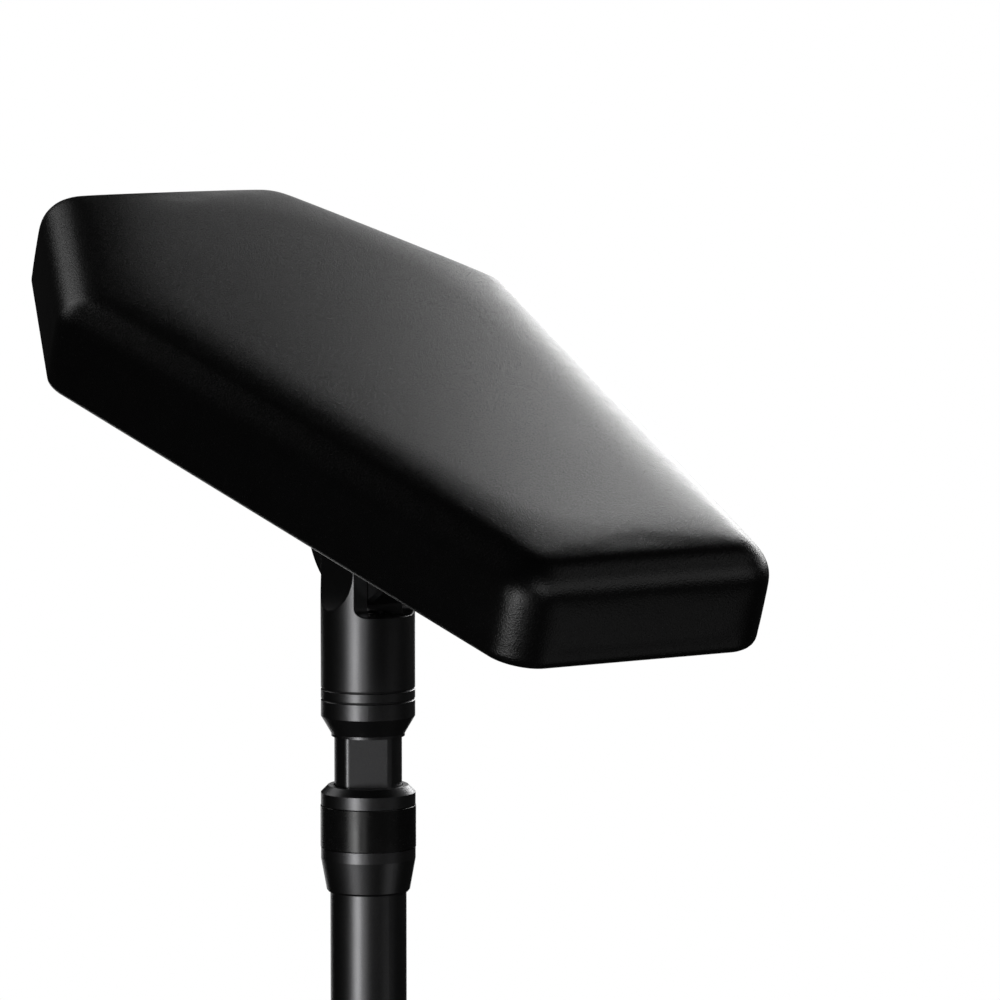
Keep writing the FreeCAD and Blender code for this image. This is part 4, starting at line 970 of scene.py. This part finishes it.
def socket_screw(head, height, key, key_depth, edge, shank, shank_length, knurl=0):
    """A hexagon socket screw: its head stands on the level plane and its shank hangs below."""
    shape = bmesh.new()
    bmesh.ops.create_circle(shape, cap_ends=True, segments=SCREW_SIDES, radius=head)
    extruded(shape, list(shape.faces), height)
    rounded(shape, edges_at(shape, height), edge, 4)
    if shank_length:
        foot = min(shape.faces, key=lambda face: face.calc_center_median().z)
        bmesh.ops.inset_region(shape, faces=[foot], thickness=head - shank, use_even_offset=True)
        tip = extruded(shape, [foot], -shank_length)
        bmesh.ops.inset_region(shape, faces=tip, thickness=shank / 6, depth=shank / 6)
    top = max(shape.faces, key=lambda face: face.calc_center_median().z)
    bmesh.ops.inset_region(shape, faces=[top], thickness=(head - edge) / 8, use_even_offset=True)
    for vert in top.verts:
        angle = math.atan2(vert.co.y, vert.co.x)
        reach = hexagon_reach(angle, key)
        vert.co.x = reach * math.cos(angle)
        vert.co.y = reach * math.sin(angle)
    floor = extruded(shape, [top], -key_depth)
    bmesh.ops.poke(shape, faces=floor, offset=-key / 8)
    if knurl:
        cut_knurl(shape, head, knurl)
    return mesh_of(shape, "screw")


def cut_knurl(shape, head, depth):
    """Draws every other upright edge of a head in, so that the head can be gripped."""
    for vert in shape.verts:
        reach = math.hypot(vert.co.x, vert.co.y)
        step = round(math.atan2(vert.co.y, vert.co.x) / FULL_TURN * SCREW_SIDES)
        if reach > head - depth / 2 and step % 2:
            vert.co.x *= 1 - depth / head
            vert.co.y *= 1 - depth / head


def ring_of(count, radius, start=0.0):
    """Places evenly round the vertical axis."""
    for index in range(count):
        turn = Matrix.Rotation(start + FULL_TURN * index / count, 4, "Z")
        yield turn @ Matrix.Translation((radius, 0, 0))


def place_screws(name, screw_mesh, places, body, node):
    """Screws of black steel in place of a CAD node's."""
    new_piece(mesh_of(repeated(screw_mesh, places), name), body, "black_steel", (node,))


def make_hub_screws(screw):
    """Six knurled cap screws that hold the hub to the base plate."""
    low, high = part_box("hub_screws")
    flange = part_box("base_hub")[0].z + HUB_FLANGE
    head_height = high.z - flange
    one = socket_screw(screw.cap_head, head_height, screw.cap_key, head_height / 2, screw.cap_head / 10,
                       screw.cap_head * CAP_SHANK_SHARE, flange - low.z, screw.knurl)
    circle = high.x - screw.cap_head
    places = [Matrix.Translation((0, 0, flange)) @ spot for spot in ring_of(HUB_SCREWS, circle)]
    place_screws("hub_cap_screws", one, places, "stand", "hub_screws")


def make_grub_screws(screw):
    """Two set screws, a quarter turn apart, sunk in the hub's boss."""
    low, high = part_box("hub_set_screws")
    height = (low.z + high.z) / 2
    length = high.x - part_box("column_tube")[1].x
    one = socket_screw(screw.grub_radius, length, screw.grub_key, length / 2, screw.grub_radius / 10,
                       shank=0, shank_length=0)
    outward = Matrix.Rotation(QUARTER_TURN, 4, "Y")
    places = []
    for turn in (0, QUARTER_TURN):
        heading = Matrix.Rotation(turn, 4, "Z")
        places.append(heading @ Matrix.Translation((high.x - length, 0, height)) @ outward)
    place_screws("hub_grub_screws", one, places, "stand", "hub_set_screws")


def make_plate_screws(pad, screw):
    """Four screws that hold the mounting plate to the tee nuts in the board."""
    seat = pad.drop + pad.cover_thickness - pad.liner_thickness - PLATE_THICKNESS - WASHER_THICKNESS
    one = socket_screw(screw.plate_head, screw.plate_head_height, screw.plate_key,
                       screw.plate_head_height / 2, screw.plate_head / 6,
                       screw.plate_head * PLATE_SHANK_SHARE, PLATE_SCREW_LENGTH)
    over = Matrix.Rotation(HALF_TURN, 4, "X")
    places = [
        tilted(pad) @ Matrix.Translation((0, 0, seat)) @ spot @ over
        for spot in ring_of(PLATE_SCREWS, screw.plate_circle, QUARTER_TURN / 2)
    ]
    place_screws("plate_socket_screws", one, places, "pad", "plate_screws")


def make_tilt_bolt(screw):
    """The bolt that the pad tilts on, its head on the near ear and its thread in the knob."""
    low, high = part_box("tilt_bolt")
    seat = low.y + screw.tilt_head_height
    one = socket_screw(screw.tilt_head, screw.tilt_head_height, screw.tilt_key,
                       screw.tilt_head_height * 0.6, screw.tilt_head_height / 4, TILT_BOLT_SHANK,
                       high.y - seat)
    lying = Matrix.Rotation(QUARTER_TURN, 4, "X")
    place = Matrix.Translation((0, seat, PIVOT.z)) @ lying
    place_screws("tilt_socket_bolt", one, [place], "head", "tilt_bolt")


# Finishes of the CAD nodes and the studio

FLOOR_SIDES = 96


def dress_nodes():
    """Gives every CAD node that still shows its slot's finish."""
    for name, node in frame["nodes"].items():
        if node.hide_render:
            continue
        material = material_named(NODE_SLOTS[name])
        if not node.material_slots:
            node.data.materials.append(material)
        for slot in node.material_slots:
            slot.material = material


def studio_spot(studio, turn, height, distance):
    """A spot round the column, turned from the camera's side, positive to the camera's right."""
    camera = Vector(studio.camera_spot)
    angle = math.atan2(camera.y, camera.x) + math.radians(turn)
    return Vector((math.cos(angle) * distance, math.sin(angle) * distance, height))


def make_lights(studio):
    """Softboxes that the camera doesn't see, each facing the column's axis."""
    for name, (turn, height, distance, width, tall, brightness, aim) in LIGHTS.items():
        lamp = bpy.data.lights.new(name, "AREA")
        lamp.shape = "RECTANGLE"
        lamp.size = width
        lamp.size_y = tall
        lamp.energy = brightness * width * tall * math.pi
        box = linked(name, lamp)
        box.location = studio_spot(studio, turn, height, distance)
        box.rotation_euler = (Vector((0, 0, aim)) - box.location).to_track_quat("-Z", "Y").to_euler()
        box.visible_camera = False


def make_world(studio):
    """White where the camera looks past the part, dim where the part looks round the studio."""
    world = bpy.data.worlds.new("studio")
    nodes = Nodes(world)
    around, seen = (
        nodes.node("Background", {}, {"Color": (light, light, light, 1)})
        for light in (studio.surround, studio.backdrop)
    )
    camera_ray = nodes.node("LightPath", output="Is Camera Ray")
    mix = nodes.node("MixShader", {}, {0: camera_ray, 1: around, 2: seen})
    nodes.node("OutputWorld", {}, {"Surface": mix})
    bpy.context.scene.world = world


def make_floor(studio):
    """A round pale floor that fades into the backdrop and isn't there from below."""
    shape = bmesh.new()
    bmesh.ops.create_circle(shape, cap_ends=True, segments=FLOOR_SIDES, radius=studio.floor_radius)
    bmesh.ops.translate(shape, verts=shape.verts, vec=(0, 0, -studio.floor_drop))
    mesh = mesh_of(shape, "studio_floor")
    shader = Shader("studio_floor")
    reach = shader.node("VectorMath", {"operation": "LENGTH"}, {0: shader.place}, output="Value")
    fade = shader.node(
        "MapRange", {"interpolation_type": "SMOOTHSTEP"},
        {"Value": reach, "From Min": studio.floor_radius, "From Max": studio.floor_clear})
    below = shader.node("NewGeometry", output="Backfacing")
    mesh.materials.append(shader.finish(
        Base_Color=colour(studio.floor_colour), Roughness=0.9, Specular_IOR_Level=0.1,
        Alpha=fade - below))
    floor = linked("studio_floor", mesh)
    floor.visible_glossy = False
    floor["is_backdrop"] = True


def make_camera(studio):
    camera = linked("camera", bpy.data.cameras.new("camera"))
    camera.location = studio.camera_spot
    camera.rotation_euler = studio.camera_turn
    camera.data.lens = studio.lens
    bpy.context.scene.camera = camera


# Operators, panel and registration

class ARMREST_OT_cushion(bpy.types.Operator):
    """Make the leather cushion in place of the cover and foam"""

    bl_idname = "arm_rest.cushion"
    bl_label = "Make cushion"

    def execute(self, context):
        make_cushion(context.scene.arm_rest_pad)
        return {"FINISHED"}


class ARMREST_OT_underside(bpy.types.Operator):
    """Make the liner, staples and pleats under the pad"""

    bl_idname = "arm_rest.underside"
    bl_label = "Make underside"

    def execute(self, context):
        scene = context.scene
        make_liner(scene.arm_rest_pad)
        make_staples(scene.arm_rest_pad, scene.arm_rest_staple)
        make_pleats(scene.arm_rest_pad, scene.arm_rest_staple)
        return {"FINISHED"}


class ARMREST_OT_screws(bpy.types.Operator):
    """Make the hexagon socket screws of the hub, plate and tilt axis"""

    bl_idname = "arm_rest.screws"
    bl_label = "Make screws"

    def execute(self, context):
        scene = context.scene
        make_hub_screws(scene.arm_rest_screw)
        make_grub_screws(scene.arm_rest_screw)
        make_plate_screws(scene.arm_rest_pad, scene.arm_rest_screw)
        make_tilt_bolt(scene.arm_rest_screw)
        return {"FINISHED"}


class ARMREST_OT_finishes(bpy.types.Operator):
    """Finish the metal, plastic, wood and rubber"""

    bl_idname = "arm_rest.finishes"
    bl_label = "Finish the parts"

    def execute(self, context):
        dress_nodes()
        return {"FINISHED"}


class ARMREST_OT_studio(bpy.types.Operator):
    """Set up the floor, lights and camera"""

    bl_idname = "arm_rest.studio"
    bl_label = "Set up studio"

    def execute(self, context):
        studio = context.scene.arm_rest_studio
        make_world(studio)
        make_floor(studio)
        make_lights(studio)
        make_camera(studio)
        context.scene.view_settings.view_transform = "Standard"
        return {"FINISHED"}


SETTINGS = {
    "arm_rest_pad": PadSettings,
    "arm_rest_staple": StapleSettings,
    "arm_rest_screw": ScrewSettings,
    "arm_rest_finish": FinishSettings,
    "arm_rest_studio": StudioSettings,
}
OPERATORS = (
    ARMREST_OT_cushion, ARMREST_OT_underside, ARMREST_OT_screws, ARMREST_OT_finishes, ARMREST_OT_studio,
)


class ARMREST_PT_panel(bpy.types.Panel):
    """Settings and operators of the arm rest stand"""

    bl_idname = "ARMREST_PT_panel"
    bl_label = "Arm rest stand"
    bl_space_type = "VIEW_3D"
    bl_region_type = "UI"
    bl_category = "Arm Rest"

    def draw(self, context):
        layout = self.layout
        for operator in OPERATORS:
            layout.operator(operator.bl_idname)
        for name, settings in SETTINGS.items():
            box = layout.box()
            box.label(text=settings.__doc__)
            for value in settings.__annotations__:
                box.prop(getattr(context.scene, name), value)


def register():
    for group in SETTINGS.values():
        bpy.utils.register_class(group)
    for kind in (*OPERATORS, ARMREST_PT_panel):
        bpy.utils.register_class(kind)
    for name, group in SETTINGS.items():
        setattr(bpy.types.Scene, name, PointerProperty(type=group))


def unregister():
    for name in SETTINGS:
        delattr(bpy.types.Scene, name)
    for kind in (ARMREST_PT_panel, *OPERATORS):
        bpy.utils.unregister_class(kind)
    for group in SETTINGS.values():
        bpy.utils.unregister_class(group)


def main():
    register()
    bpy.ops.arm_rest.cushion()
    bpy.ops.arm_rest.underside()
    bpy.ops.arm_rest.screws()
    bpy.ops.arm_rest.finishes()
    bpy.ops.arm_rest.studio()
    boxes = {"cad": CAD_BOX, "visual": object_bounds()}
    {name: [list(corner) for corner in box] for name, box in boxes.items()}


if __name__ == "__main__":
    main()
